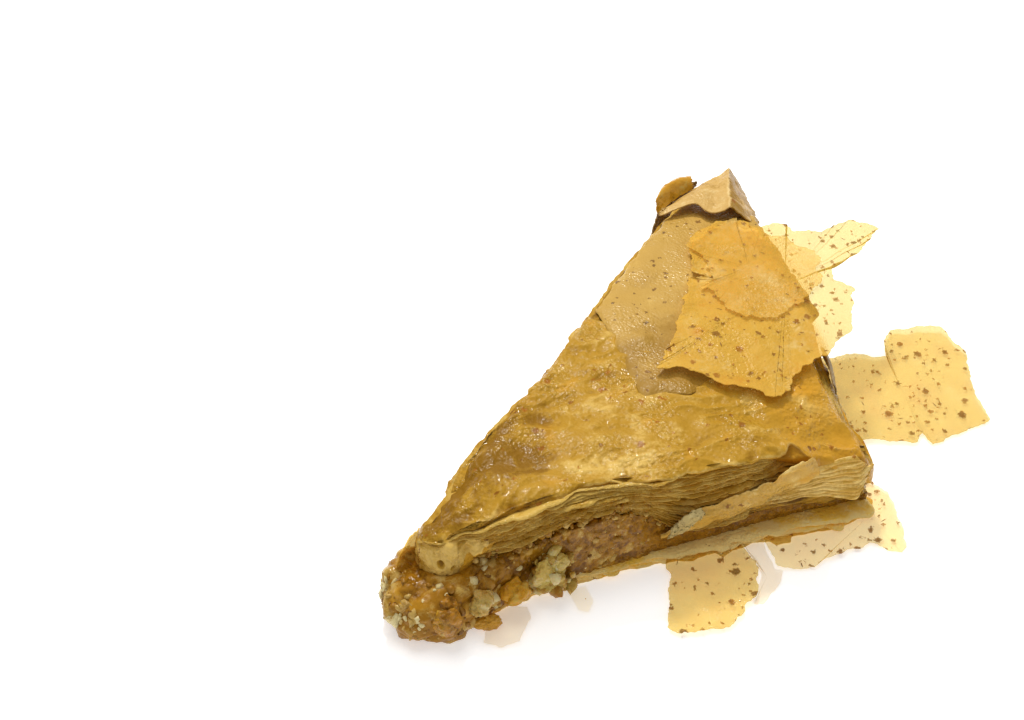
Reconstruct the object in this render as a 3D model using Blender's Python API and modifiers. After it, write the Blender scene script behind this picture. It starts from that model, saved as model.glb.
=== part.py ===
"""Baklava piece: one half of a square cut corner to corner, soaked in syrup and lying flat.

The body is four layers that run right through it, from the front cut to the long diagonal cut: the
bottom pastry, the chopped-nut filling, a folded band of pastry and the top stack of thin sheets.
Filling and larger nuts have spilled out at the sharp tip. One loose sheet lies on top, others have
curled at the back corner and at the tip, and flakes that came off lie flat beside the piece.

Frame: +Z is up and the underside is on Z = 0. +X runs along the front cut, from the sharp tip to the
square corner, and +Y runs away from that cut. The origin is the middle of the bounding box's base.
"""

import math

import bmesh
import bpy
from mathutils import Vector, noise

MM = 0.001  # the sizes below are in millimetres, and the scene is in metres

# Driving dimensions: the triangle's corners in plan before rounding, and its height
TIP = Vector((-63.0, -29.5))
SQUARE_CORNER = Vector((25.0, -29.5))
BACK_CORNER = Vector((28.8, 45.6))
TIP_RADIUS = 5.0
SQUARE_RADIUS = 1.8
BACK_RADIUS = 2.5
HEIGHT = 19.3

# How far the top is pressed down at the square corner and at the back corner, and over what distance
SQUARE_DROP = 6.0
SQUARE_SPREAD = 15.0
BACK_DROP = 2.2
BACK_SPREAD = 14.0

# The space that touching pieces leave between them, and the thickness of a loose sheet
GAP = 0.5
SHEET = 0.6
BOX_CENTRE = Vector((-0.2, -0.8))  # where the bounding box's middle falls in the numbers below

# Where the layers meet, as (x, height) along the front cut; between the points the line is smooth
BOTTOM_ROOF = ((-60, 1.8), (-20, 1.6), (10, 2.0), (26, 1.2))
FILLING_ROOF = (
    (-60, 9.6), (-53, 9.4), (-47, 8.6), (-41, 9.2), (-28, 13.0),
    (-21, 13.0), (-6, 4.8), (8, 5.2), (17, 3.4), (26, 2.8),
)
BAND_ROOF = (
    (-60, 11.0), (-53, 10.9), (-47, 10.1), (-41, 10.7), (-28, 14.5),
    (-21, 14.5), (-6, 8.6), (3, 11.2), (12, 11.6), (26, 9.4),
)
TOP_ROOF = ((-58, 12.6), (-55, 13.4), (-51, 15.2), (-46, 17.4), (-38, HEIGHT), (30, HEIGHT))

# How far each layer's front edge stands out from the triangle, as (x, distance)
BOTTOM_FRONT = ((-60, 0.5), (26, -0.5))
FILLING_FRONT = ((-60, 1.0), (-28, 1.0), (-15, -1.0), (26, -1.5))
BAND_FRONT = ((-55, -1.0), (-30, -1.0), (-14, 0.0), (26, 0.5))
TOP_FRONT = ((-55, 0.0), (-46, -2.5), (-22, -2.5), (-14, -0.5), (26, -0.5))
DIAGONAL_BOW = ((-60, 0.0), (-27, -1.5), (6, 2.0), (30, 0.0))

# The spill at the tip: how far it reaches, and where along X it begins and is full
SPILL = 6.0
SPILL_FROM = -33.0
SPILL_FULL = -55.0

# A layer's mesh: the spacing round its edge, and its rings from the edge to the middle
EDGE_STEP = 4.4
RINGS = (1.0, 0.87, 0.72, 0.56, 0.39, 0.2)
HUB = Vector((1.5, -6.0))

# Plan outlines of the loose sheet on top and of the flakes on the floor
LOOSE_SHEET = (
    (12.3, 24.4), (15.8, 27.0), (19.7, 28.6), (24.6, 27.6), (24.9, 24.4), (32.0, 24.0), (31.7, 21.2),
    (36.3, 19.7), (43.5, 21.5), (47.4, 17.1), (40.4, 11.2), (33.6, 9.5), (32.7, 6.5), (35.0, 3.1),
    (33.0, -0.3), (29.7, -6.6), (23.1, -10.2), (18.1, -12.3), (10.3, -18.1), (8.5, -16.0),
    (3.4, -13.3), (-2.8, -6.8), (-6.2, -6.3), (-2.3, -1.6), (8.0, 13.9), (11.6, 14.3), (9.3, 15.9),
)
GOLDEN_FLAKE = (
    (-13.0, -30.2), (-13.4, -33.5), (-18.3, -43.4), (-17.1, -45.0), (-8.3, -46.6),
    (-2.0, -41.9), (0.3, -37.5), (1.0, -34.4), (0.3, -30.2),
)
CLEAR_FLAKE = (
    (0.8, -30.2), (1.5, -34.4), (0.7, -38.0), (-2.6, -42.9), (-1.3, -43.9),
    (2.7, -40.8), (4.7, -38.0), (3.6, -37.2), (4.2, -30.2),
)
CORNER_FLAKE = (
    (4.7, -30.2), (4.1, -36.9), (7.6, -38.8), (21.1, -36.9), (23.7, -39.4), (25.1, -41.0),
    (26.5, -39.9), (28.4, -32.2), (29.3, -27.5), (27.8, -24.0), (26.2, -24.0), (26.2, -30.2),
)
SIDE_FLAKE = (
    (28.7, 8.4), (39.8, 6.5), (45.5, 3.5), (46.6, 7.6), (49.4, 10.9), (58.8, 8.2), (60.0, 0.8),
    (55.9, -10.0), (55.5, -17.0), (48.4, -18.2), (42.1, -19.6), (41.8, -16.1), (39.7, -18.1),
    (32.7, -15.3), (27.2, -14.0),
)
TIP_FLAP = (
    (-49.8, -36.4), (-47.0, -38.4), (-43.0, -37.4), (-38.9, -34.8),
    (-36.4, -32.2), (-40.5, -32.8), (-45.0, -34.4),
)
DRIP = ((-30.6, -32.6), (-30.2, -35.6), (-28.6, -36.4), (-27.2, -34.8), (-27.4, -32.6))

# Sheets that curl, as rows of (x, y, z) points
BACK_CURL = (
    ((9.6, 33.5, 21.2), (16.6, 34.0, 22.6), (19.2, 30.2, 22.4), (23.6, 29.2, 22.4), (29.2, 27.0, 18.4)),
    ((10.2, 34.9, 21.6), (19.0, 37.6, 22.4), (22.6, 37.2, 22.4), (26.4, 36.8, 22.0), (30.6, 34.6, 17.8)),
    ((10.6, 36.0, 20.8), (21.0, 40.8, 21.4), (25.4, 42.4, 21.4), (29.2, 43.4, 20.8), (31.6, 42.0, 17.4)),
)
CORNER_SHEET = (
    ((9.0, 35.6, 12.8), (15.0, 40.4, 12.6), (20.6, 44.4, 12.6)),
    ((11.0, 38.0, 15.6), (17.0, 42.2, 16.0), (22.0, 44.9, 15.6)),
    ((13.2, 40.6, 18.2), (18.8, 43.9, 19.2), (22.8, 44.2, 18.4)),
)
TIP_CURL = (
    ((-51.2, -15.2, 4.6), (-55.8, -18.5, 5.0), (-59.2, -22.3, 4.8)),
    ((-51.0, -17.3, 8.6), (-55.1, -20.1, 9.0), (-58.8, -23.6, 8.6)),
    ((-50.8, -19.2, 12.0), (-54.2, -21.8, 12.6), (-57.4, -25.2, 11.6)),
)

# Nuts at the tip, with how uneven they are, then each one's name, centre, size and colour
NUT_LUMPS = 0.4
NUTS = (
    ("tip_walnut", (-52.0, -34.8, 5.6), (6.6, 6.4, 8.4), (0.50, 0.20, 0.05)),
    ("tip_pale_nut", (-45.8, -33.2, 5.8), (5.4, 5.0, 4.2), (0.62, 0.46, 0.22)),
    ("tip_amber_nut", (-39.8, -31.6, 4.8), (5.2, 5.2, 6.4), (0.58, 0.30, 0.06)),
    ("front_nut_cluster", (-32.8, -30.2, 5.0), (9.8, 6.0, 9.2), (0.60, 0.42, 0.16)),
)


def smooth_step(t):
    """0 below 0, 1 above 1, and a smooth rise between."""
    t = min(max(t, 0.0), 1.0)
    return t * t * (3.0 - 2.0 * t)


def along(profile, x):
    """The value at x of a profile of (x, value) points, smooth between them and level past the ends."""
    if x <= profile[0][0]:
        return profile[0][1]
    for (x0, v0), (x1, v1) in zip(profile, profile[1:]):
        if x <= x1:
            return v0 + (v1 - v0) * smooth_step((x - x0) / (x1 - x0))
    return profile[-1][1]


def uneven(x, y, scale, seed):
    """Smooth noise between about -1 and 1, with lumps of the given size."""
    return noise.noise(Vector((x / scale, y / scale, 7.3 * seed)))


def clean_scene():
    for item in list(bpy.data.objects):
        bpy.data.objects.remove(item, do_unlink=True)


def new_collection(name):
    collection = bpy.data.collections.new(name)
    bpy.context.scene.collection.children.link(collection)
    return collection


def new_material(name, colour, roughness):
    material = bpy.data.materials.new(name)
    material.use_nodes = True
    shader = material.node_tree.nodes["Principled BSDF"]
    shader.inputs["Base Color"].default_value = (*colour, 1.0)
    shader.inputs["Roughness"].default_value = roughness
    shader.inputs["Metallic"].default_value = 0.0
    return material


def add_object(name, mesh, collection, material=None):
    piece = bpy.data.objects.new(name, mesh)
    collection.objects.link(piece)
    if material:
        mesh.materials.append(material)
    return piece


def mesh_from_bmesh(name, shape):
    """A mesh in metres, centred on the bounding box, from a shape worked out in millimetres."""
    bmesh.ops.translate(shape, verts=shape.verts, vec=(-BOX_CENTRE.x, -BOX_CENTRE.y, 0.0))
    bmesh.ops.scale(shape, verts=shape.verts, vec=(MM, MM, MM))
    bmesh.ops.recalc_face_normals(shape, faces=shape.faces)
    mesh = bpy.data.meshes.new(name)
    shape.to_mesh(mesh)
    shape.free()
    return mesh


def as_cutter(piece):
    piece.hide_render = True
    piece.display_type = "WIRE"
    return piece


def solidify(piece, offset):
    modifier = piece.modifiers.new("thickness", "SOLIDIFY")
    modifier.thickness = SHEET * MM
    modifier.offset = offset


def boolean(piece, cutter, operation):
    modifier = piece.modifiers.new(cutter.name, "BOOLEAN")
    modifier.object = cutter
    modifier.operation = operation
    modifier.solver = "EXACT"


def rounded_corner(before, corner, after, radius):
    """Points on the arc that rounds a corner, each with its outward direction."""
    to_before = (before - corner).normalized()
    to_after = (after - corner).normalized()
    half = to_before.angle(to_after) / 2.0
    centre = corner + (to_before + to_after).normalized() * radius / math.sin(half)
    first = (corner + to_before * radius / math.tan(half) - centre).normalized()
    last = (corner + to_after * radius / math.tan(half) - centre).normalized()
    steps = max(2, round(radius * first.angle(last) / (EDGE_STEP * 0.6)))
    arc = []
    for i in range(steps + 1):
        outward = first.slerp(last, i / steps).normalized()
        arc.append((centre + outward * radius, outward))
    return arc


def footprint():
    """The rounded triangle, anticlockwise from the tip, as points with their outward directions."""
    corners = (TIP, SQUARE_CORNER, BACK_CORNER)
    radii = (TIP_RADIUS, SQUARE_RADIUS, BACK_RADIUS)
    arcs = [
        rounded_corner(corners[i - 1], corners[i], corners[(i + 1) % 3], radii[i])
        for i in range(3)
    ]
    edge = []
    for i, arc in enumerate(arcs):
        edge += arc
        start, outward = arc[-1]
        end = arcs[(i + 1) % 3][0][0]
        steps = round((end - start).length / EDGE_STEP)
        edge += [(start.lerp(end, k / steps), outward) for k in range(1, steps)]
    return edge


def spill(x):
    """How much of the tip's spill is reached at x, from 0 to 1."""
    return smooth_step((SPILL_FROM - x) / (SPILL_FROM - SPILL_FULL))


def edge_reach(point, outward, front, spilled, seed):
    """How far a layer's edge stands out from the triangle at a point of its footprint."""
    faces_front = max(0.0, -outward.y) ** 2
    faces_diagonal = 1.0 if outward.x < 0.0 < outward.y else 0.0
    reach = faces_front * along(front, point.x)
    reach += faces_diagonal * along(DIAGONAL_BOW, point.x)
    reach += 0.5 * uneven(point.x, point.y, 6.0, seed)
    if spilled:
        reach += SPILL * spill(point.x) * (0.35 + 0.65 * max(0.0, -outward.x - outward.y))
    return reach


def top_height(x, y):
    """The top of the piece: level, lower over the tip's nose, and pressed down at the other corners."""
    from_square = math.hypot(x - SQUARE_CORNER.x, y - SQUARE_CORNER.y)
    from_back = math.hypot(x - BACK_CORNER.x, y - BACK_CORNER.y)
    square_drop = SQUARE_DROP * math.exp(-((from_square / SQUARE_SPREAD) ** 2))
    back_drop = BACK_DROP * math.exp(-((from_back / BACK_SPREAD) ** 2))
    return along(TOP_ROOF, x) - square_drop - back_drop


def layer(name, front, floor, roof, rounding, bumps, spilled, seed, collection, material):
    """A closed layer of the body: its own edge, then the triangle carried in towards the hub as rings,
    once at the height of its floor and once at the height of its roof, joined by triangles. The rings
    inside the edge stand at the same places in every layer, so that two layers never cut each other."""
    triangle = footprint()
    shape = bmesh.new()

    def ring(share, height, drop):
        points = [HUB + (p - HUB) * share for p, _ in triangle]
        if share == 1.0:
            points = [p + n * edge_reach(p, n, front, spilled, seed) for p, n in triangle]
        return [shape.verts.new((p.x, p.y, height(p.x, p.y) - drop(p.x))) for p in points]

    def bumpy_roof(x, y):
        return roof(x, y) + bumps * uneven(x, y, 7.0, seed)

    def level(_):
        return 0.0

    def rounded(x):
        slump = 0.5 * roof(x, TIP.y) * spill(x) if spilled else 0.0
        return rounding + slump

    count = len(triangle)
    lower = [ring(share, floor, level) for share in RINGS]
    upper = [ring(share, bumpy_roof, rounded if share == 1.0 else level) for share in RINGS]
    for rings, height in ((lower, floor), (upper, bumpy_roof)):
        middle = shape.verts.new((HUB.x, HUB.y, height(HUB.x, HUB.y)))
        for i in range(count):
            j = (i + 1) % count
            for outer, inner in zip(rings, rings[1:]):
                shape.faces.new((outer[i], outer[j], inner[j]))
                shape.faces.new((outer[i], inner[j], inner[i]))
            shape.faces.new((rings[-1][i], rings[-1][j], middle))
    for i in range(count):
        j = (i + 1) % count
        shape.faces.new((lower[0][i], lower[0][j], upper[0][j], upper[0][i]))
    mesh = mesh_from_bmesh(name, shape)
    mesh.shade_smooth()
    mesh.set_sharp_from_angle(angle=math.radians(40.0))
    return add_object(name, mesh, collection, material)


def build_layers(collection):
    """The four layers of the body, from the bottom up."""

    def flat_base(x, y):
        return 0.0

    def bottom_roof(x, y):
        return along(BOTTOM_ROOF, x)

    def filling_roof(x, y):
        return along(FILLING_ROOF, x)

    def band_roof(x, y):
        return along(BAND_ROOF, x)

    def above(height):
        return lambda x, y: height(x, y) + GAP

    layer("bottom_pastry", BOTTOM_FRONT, flat_base, bottom_roof, 0.3, 0.0, True, 1, collection,
          new_material("bottom pastry", (0.50, 0.31, 0.11), 0.45))
    layer("nut_filling", FILLING_FRONT, above(bottom_roof), filling_roof, 0.6, 0.0, True, 2, collection,
          new_material("nut filling", (0.40, 0.22, 0.06), 0.55))
    layer("folded_pastry", BAND_FRONT, above(filling_roof), band_roof, 0.2, 0.0, False, 3, collection,
          new_material("folded pastry", (0.55, 0.37, 0.15), 0.45))
    layer("top_pastry", TOP_FRONT, above(band_roof), top_height, 1.0, 0.35, False, 4, collection,
          new_material("top pastry", (0.58, 0.34, 0.09), 0.25))


def torn(outline, seed):
    """An outline with a point about every 3 mm, moved a little in or out as a torn edge is."""
    points = []
    for i, (x0, y0) in enumerate(outline):
        x1, y1 = outline[(i + 1) % len(outline)]
        steps = max(1, round(math.hypot(x1 - x0, y1 - y0) / 3.0))
        for k in range(steps):
            x = x0 + (x1 - x0) * k / steps
            y = y0 + (y1 - y0) * k / steps
            if k:
                x += 0.4 * uneven(x, y, 2.5, seed)
                y += 0.4 * uneven(y, x, 2.5, seed + 1)
            points.append((x, y))
    return points


def outline_prism(name, outline, low, high):
    """A flat outline as a filled curve, extruded from low to high, then made a mesh with welded caps."""
    curve = bpy.data.curves.new(name, "CURVE")
    curve.dimensions = "2D"
    curve.fill_mode = "BOTH"
    curve.extrude = (high - low) / 2.0 * MM
    spline = curve.splines.new("POLY")
    spline.points.add(len(outline) - 1)
    for point, (x, y) in zip(spline.points, outline):
        point.co = ((x - BOX_CENTRE.x) * MM, (y - BOX_CENTRE.y) * MM, 0.0, 1.0)
    spline.use_cyclic_u = True
    guide = bpy.data.objects.new(name, curve)
    bpy.context.scene.collection.objects.link(guide)
    evaluated = guide.evaluated_get(bpy.context.evaluated_depsgraph_get())
    mesh = bpy.data.meshes.new_from_object(evaluated)
    bpy.data.objects.remove(guide, do_unlink=True)
    shape = bmesh.new()
    shape.from_mesh(mesh)
    bmesh.ops.remove_doubles(shape, verts=shape.verts, dist=0.00001)
    bmesh.ops.translate(shape, verts=shape.verts, vec=(0.0, 0.0, (low + high) / 2.0 * MM))
    bmesh.ops.recalc_face_normals(shape, faces=shape.faces)
    shape.to_mesh(mesh)
    shape.free()
    mesh.name = name
    return mesh


def build_floor_flakes(collection):
    """The flakes that lie flat on the floor, and the drip of syrup in front of the cut."""
    flakes = (
        ("golden_floor_flake", GOLDEN_FLAKE, (0.85, 0.62, 0.25), 11),
        ("clear_floor_flake", CLEAR_FLAKE, (0.75, 0.68, 0.50), 12),
        ("corner_floor_flake", CORNER_FLAKE, (0.85, 0.70, 0.38), 13),
        ("side_floor_flake", SIDE_FLAKE, (0.88, 0.68, 0.28), 14),
        ("tip_floor_flap", TIP_FLAP, (0.52, 0.34, 0.12), 16),
        ("syrup_drip", DRIP, (0.85, 0.80, 0.68), 15),
    )
    for name, outline, colour, seed in flakes:
        mesh = outline_prism(name, torn(outline, seed), 0.0, SHEET)
        add_object(name, mesh, collection, new_material(name.replace("_", " "), colour, 0.35))


def build_loose_sheet(collection, cutters):
    """The torn sheet on top: a grid that follows the top, given its thickness and cut to its outline."""
    bpy.ops.mesh.primitive_grid_add(x_subdivisions=16, y_subdivisions=14, size=1.0)
    sheet = bpy.context.object
    sheet.name = sheet.data.name = "loose_sheet"
    low = Vector((min(x for x, _ in LOOSE_SHEET) - 2.0, min(y for _, y in LOOSE_SHEET) - 2.0))
    high = Vector((max(x for x, _ in LOOSE_SHEET) + 2.0, max(y for _, y in LOOSE_SHEET) + 2.0))
    for vertex in sheet.data.vertices:
        x = low.x + (high.x - low.x) * (vertex.co.x + 0.5)
        y = low.y + (high.y - low.y) * (vertex.co.y + 0.5)
        z = top_height(x, y) + 2.0 * GAP + 0.25 * uneven(x, y, 12.0, 21)
        vertex.co = ((x - BOX_CENTRE.x) * MM, (y - BOX_CENTRE.y) * MM, z * MM)
    for owner in sheet.users_collection:
        owner.objects.unlink(sheet)
    collection.objects.link(sheet)
    sheet.data.materials.append(new_material("loose sheet", (0.80, 0.52, 0.15), 0.35))
    solidify(sheet, 1.0)
    shape = outline_prism("loose_sheet_outline", torn(LOOSE_SHEET, 22), 5.0, 35.0)
    boolean(sheet, as_cutter(add_object("loose_sheet_outline", shape, cutters)), "INTERSECT")


def curled_sheet(name, rows, collection, material):
    """An open sheet through rows of points, smoothed once and then given its thickness."""
    shape = bmesh.new()
    grid = [[shape.verts.new(point) for point in row] for row in rows]
    for first, second in zip(grid, grid[1:]):
        for i in range(len(first) - 1):
            shape.faces.new((first[i], first[i + 1], second[i + 1], second[i]))
    piece = add_object(name, mesh_from_bmesh(name, shape), collection, material)
    smooth = piece.modifiers.new("smooth", "SUBSURF")
    smooth.levels = smooth.render_levels = 1
    solidify(piece, 0.0)
    return piece


def build_curls(collection):
    curled_sheet("back_curl", BACK_CURL, collection,
                 new_material("back curl", (0.72, 0.47, 0.19), 0.45))
    curled_sheet("corner_sheet", CORNER_SHEET, collection,
                 new_material("corner sheet", (0.50, 0.28, 0.07), 0.30))
    curled_sheet("tip_curl", TIP_CURL, collection,
                 new_material("tip curl", (0.60, 0.36, 0.08), 0.20))


def nut(name, centre, size, grown, floor, collection, material=None):
    """A lumpy piece of nut, cut off flat at the floor. grown makes it larger all round."""
    shape = bmesh.new()
    bmesh.ops.create_icosphere(shape, subdivisions=2, radius=1.0)
    for vertex in shape.verts:
        direction = vertex.co.copy()
        lump = 1.0 + NUT_LUMPS * noise.noise(direction * 1.6 + Vector(centre))
        for axis in range(3):
            half = size[axis] / 2.0 * lump + grown
            vertex.co[axis] = centre[axis] + direction[axis] * half
        vertex.co.z = max(vertex.co.z, floor)
    return add_object(name, mesh_from_bmesh(name, shape), collection, material)


def build_nuts(collection, cutters):
    """Larger nuts at the tip, each in a pocket cut in the layers behind it."""
    for name, centre, size, colour in NUTS:
        material = new_material(name.replace("_", " "), colour, 0.35)
        nut(name, centre, size, 0.0, 0.0, collection, material)
        pocket = as_cutter(nut(name + "_pocket", centre, size, GAP, -1.0, cutters))
        for host in ("bottom_pastry", "nut_filling", "folded_pastry", "top_pastry"):
            boolean(bpy.data.objects[host], pocket, "DIFFERENCE")


def main():
    clean_scene()
    parts = new_collection("baklava_piece")
    cutters = new_collection("cutters")
    build_layers(parts)
    build_floor_flakes(parts)
    build_loose_sheet(parts, cutters)
    build_curls(parts)
    build_nuts(parts, cutters)


main()
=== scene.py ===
"""Baklava piece: the visible surfaces of a syrup-soaked triangle of baklava, built round its CAD frame.

Every surface is a grid of two parameters worked out as whole arrays in millimetres, then put into a
mesh in metres. The sheets, nuts and flakes keep to the places and sizes of the CAD nodes they replace.
"""

import math

import bpy
import numpy as np
from bpy.props import FloatProperty, FloatVectorProperty, IntProperty, PointerProperty
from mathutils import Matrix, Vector


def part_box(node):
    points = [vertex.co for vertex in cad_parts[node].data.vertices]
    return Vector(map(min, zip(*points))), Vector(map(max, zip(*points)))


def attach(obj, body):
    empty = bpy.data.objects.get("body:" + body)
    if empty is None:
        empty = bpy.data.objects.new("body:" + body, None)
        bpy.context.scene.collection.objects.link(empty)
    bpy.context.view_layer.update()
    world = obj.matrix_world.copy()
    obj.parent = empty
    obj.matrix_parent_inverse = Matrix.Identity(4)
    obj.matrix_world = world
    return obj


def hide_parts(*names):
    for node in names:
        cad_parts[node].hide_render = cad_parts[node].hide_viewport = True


bl_info = {
    "name": "Baklava Piece",
    "version": (1, 0, 0),
    "blender": (4, 5, 0),
    "location": "3D View > Sidebar > Baklava",
    "description": "Builds a syrup-soaked baklava triangle with its torn sheets, nuts and flakes",
    "category": "Add Mesh",
}

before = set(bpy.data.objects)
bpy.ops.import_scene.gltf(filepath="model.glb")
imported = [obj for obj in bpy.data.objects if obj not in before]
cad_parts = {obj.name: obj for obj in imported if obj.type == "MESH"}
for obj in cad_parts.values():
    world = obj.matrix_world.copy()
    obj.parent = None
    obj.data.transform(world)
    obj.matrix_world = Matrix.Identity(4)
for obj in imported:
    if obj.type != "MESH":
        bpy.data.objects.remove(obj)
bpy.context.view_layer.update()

MM = 0.001
PLAN_SHIFT = np.array((0.2, 0.8, 0.0))  # from the plan's own corner to the middle of the frame

# The triangle in plan: the sharp tip, the square corner and the back corner, before rounding
TRIANGLE = np.array(((-63.0, -29.5), (25.0, -29.5), (28.8, 45.6)))
CORNER_RADII = (5.0, 1.8, 2.5)
HUB = np.array((1.5, -6.0))

# Where the layers meet, as (x, height); between the points the line is smooth
TOP_ROOF = ((-58, 12.6), (-55, 13.4), (-51, 15.2), (-46, 17.4), (-38, 19.3), (30, 19.3))
BAND_ROOF = (
    (-60, 11.0), (-53, 10.9), (-47, 10.1), (-41, 10.7), (-28, 14.5), (-21, 14.5),
    (-6, 8.6), (3, 11.2), (12, 11.6), (26, 9.4),
)
FILLING_ROOF = (
    (-60, 9.6), (-53, 9.4), (-47, 8.6), (-41, 9.2), (-28, 13.0), (-21, 13.0),
    (-6, 4.8), (8, 5.2), (17, 3.4), (26, 2.8),
)
BOTTOM_ROOF = ((-60, 1.8), (-20, 1.6), (10, 2.0), (26, 1.2))

# How far each layer's front edge stands out from the triangle, as (x, distance)
TOP_FRONT = (
    (-55, 0.0), (-50, -0.2), (-44, -0.8), (-38, -1.4), (-31, -2.2), (-27, -3.0), (-22, -2.6), (-14, -0.6),
    (7, -0.5), (9.5, -2.6), (11.5, -0.3), (16, 0.3), (26, -0.3),
)
FRONT_CURTAIN = (
    (-53, 4.6), (-49, 5.6), (-45, 4.4), (-41.5, 3.6), (-38, 2.8), (-31, 1.2), (-24, 0.5), (-20, 0.2),
    (11, 0.2), (15, 3.0), (26, 3.0),
)
STACK_FRONT = ((-55, -1.2), (-46, -1.0), (-38, -0.7), (-28, -0.4), (-14, -0.4), (26, -0.3))
BAND_FRONT = ((-55, -1.0), (-30, -1.0), (-14, -0.2), (26, 0.2))
FILLING_FRONT = ((-60, 1.0), (-44, 0.6), (-36, -0.6), (-28, -0.2), (-18, -0.6), (-12, -1.0), (26, -1.5))
BOTTOM_FRONT = ((-60, 0.5), (-14, 0.3), (-8, 0.9), (4, 1.0), (10, 1.9), (18, 2.2), (23, 1.4), (26, 0.0))
RIGHT_INSET = ((-29, 0.4), (-24, 0.6), (-20, 2.2), (-12, 2.7), (-8, 2.6), (2, 1.2), (12, 0.0))
DIAGONAL_BOW = ((-60, 0.0), (-27, -1.5), (4, 1.9), (18, 2.6), (30, 0.4))
RIM_DROP = 3.4
RIM_WIDTH = 1.7
SPILL_FROM = -33.0
SPILL_FULL = -55.0
SPILL_REACH = 6.0

# Plan outlines of the sheets that lie loose
LOOSE_SHEET = (
    (12.3, 24.4), (15.8, 27.0), (19.7, 28.6), (24.6, 27.6), (24.9, 24.4), (32.0, 24.0), (31.7, 21.2),
    (36.3, 19.7), (43.5, 21.5), (47.4, 17.1), (40.4, 11.2), (33.6, 9.5), (32.7, 6.5), (35.0, 3.1),
    (33.0, -0.3), (29.7, -6.6), (23.1, -10.2), (18.1, -12.3), (10.3, -18.1), (8.5, -16.0),
    (3.4, -13.3), (-2.8, -6.8), (-6.2, -6.3), (-2.3, -1.6), (8.0, 13.9), (11.6, 14.3), (9.3, 15.9),
)
SECOND_SHEET = (
    (11.3, 22.4), (13.0, 24.4), (15.2, 25.2), (17.8, 27.5), (19.8, 27.2), (21.3, 28.0), (23.4, 28.3),
    (23.6, 25.0), (25.2, 24.2), (24.6, 21.5), (29.9, 19.1), (32.5, 13.9), (29.6, 5.9), (23.9, 1.9),
    (18.9, 0.1), (15.0, 0.5), (13.2, 1.6), (11.0, 3.8), (11.1, 9.0), (9.2, 11.2), (12.0, 12.0),
    (12.3, 13.9), (12.9, 18.2),
)
DRY_SHEET = (
    (-10.0, 13.4), (-9.8, 3.7), (-10.7, -5.4), (-10.0, -10.8), (-8.3, -10.8), (-6.0, -11.1),
    (-2.6, -12.4), (-0.6, -11.8), (6.0, -9.0), (14.0, -6.0), (22.0, -3.0), (27.2, 0.0),
    (27.6, 20.0), (28.4, 43.5), (26.0, 44.4), (8.0, 31.0),
)
GOLDEN_FLAKE = (
    (-13.0, -30.2), (-13.4, -33.5), (-18.3, -43.4), (-17.1, -45.0), (-8.3, -46.6),
    (-2.0, -41.9), (0.3, -37.5), (1.0, -34.4), (0.3, -29.0), (-12.0, -28.5),
)
CLEAR_FLAKE = (
    (0.8, -29.4), (1.5, -34.4), (0.7, -38.0), (-2.6, -42.9), (-1.3, -43.9),
    (2.7, -40.8), (4.7, -38.0), (3.6, -37.2), (4.2, -29.4),
)
CORNER_FLAKE = (
    (4.7, -29.0), (4.1, -36.9), (7.6, -38.8), (21.1, -36.9), (23.7, -39.4), (25.1, -41.0),
    (26.5, -39.9), (28.4, -32.2), (29.3, -27.5), (27.8, -23.0), (24.0, -23.0), (14.0, -27.0),
)
SIDE_FLAKE = (
    (27.2, 8.4), (39.8, 6.5), (45.5, 3.5), (46.6, 7.6), (49.4, 10.9), (58.8, 8.2), (60.0, 0.8),
    (55.9, -10.0), (55.5, -17.0), (48.4, -18.2), (42.1, -19.6), (41.8, -16.1), (39.7, -18.1),
    (32.7, -15.3), (26.4, -14.0),
)
TIP_FLAP = (
    (-46.6, -37.0), (-44.4, -38.6), (-41.1, -38.7), (-38.0, -35.4),
    (-37.7, -32.7), (-40.9, -31.4), (-44.0, -31.8),
)
DRIP = ((-30.6, -31.4), (-30.2, -35.6), (-28.6, -36.4), (-27.2, -34.8), (-27.4, -31.4))

# Sheets that curl, as rows of (x, y, z) points
BACK_CURL = (
    ((9.6, 33.5, 21.2), (16.6, 34.0, 22.6), (19.2, 30.2, 22.4), (23.6, 29.2, 22.4), (29.2, 27.0, 18.4)),
    ((10.2, 34.9, 21.6), (19.0, 37.6, 22.4), (22.6, 37.2, 22.4), (26.4, 36.8, 22.0), (30.6, 34.6, 17.8)),
    ((10.6, 36.0, 20.8), (21.0, 40.8, 21.4), (25.4, 42.4, 21.4), (29.2, 43.4, 20.8), (31.6, 42.0, 17.4)),
)
CORNER_SHEET = (
    ((9.0, 35.6, 12.8), (15.0, 40.4, 12.6), (20.6, 44.4, 12.6)),
    ((11.0, 38.0, 15.6), (17.0, 42.2, 16.0), (22.0, 44.9, 15.6)),
    ((13.2, 40.6, 18.2), (18.8, 43.9, 19.2), (22.8, 44.2, 18.4)),
)
TIP_CURL = (
    ((-52.6, -20.0, 3.6), (-55.6, -22.4, 3.6), (-58.0, -25.6, 3.4)),
    ((-52.4, -20.6, 8.4), (-55.4, -22.8, 8.6), (-57.8, -25.4, 8.2)),
    ((-52.2, -21.0, 12.6), (-54.4, -23.0, 13.2), (-56.6, -25.0, 11.8)),
)
TORN_SHARD = (
    ((-13.6, -30.9, 6.9), (-10.8, -31.2, 7.7), (-8.7, -31.3, 9.4), (-6.7, -31.0, 11.0)),
    ((-13.3, -31.1, 7.8), (-11.4, -31.5, 9.6), (-9.2, -31.6, 11.2), (-6.9, -31.2, 11.9)),
    ((-13.0, -30.8, 8.6), (-12.0, -31.2, 10.8), (-9.8, -31.2, 12.8), (-7.2, -30.8, 12.6)),
)


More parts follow.
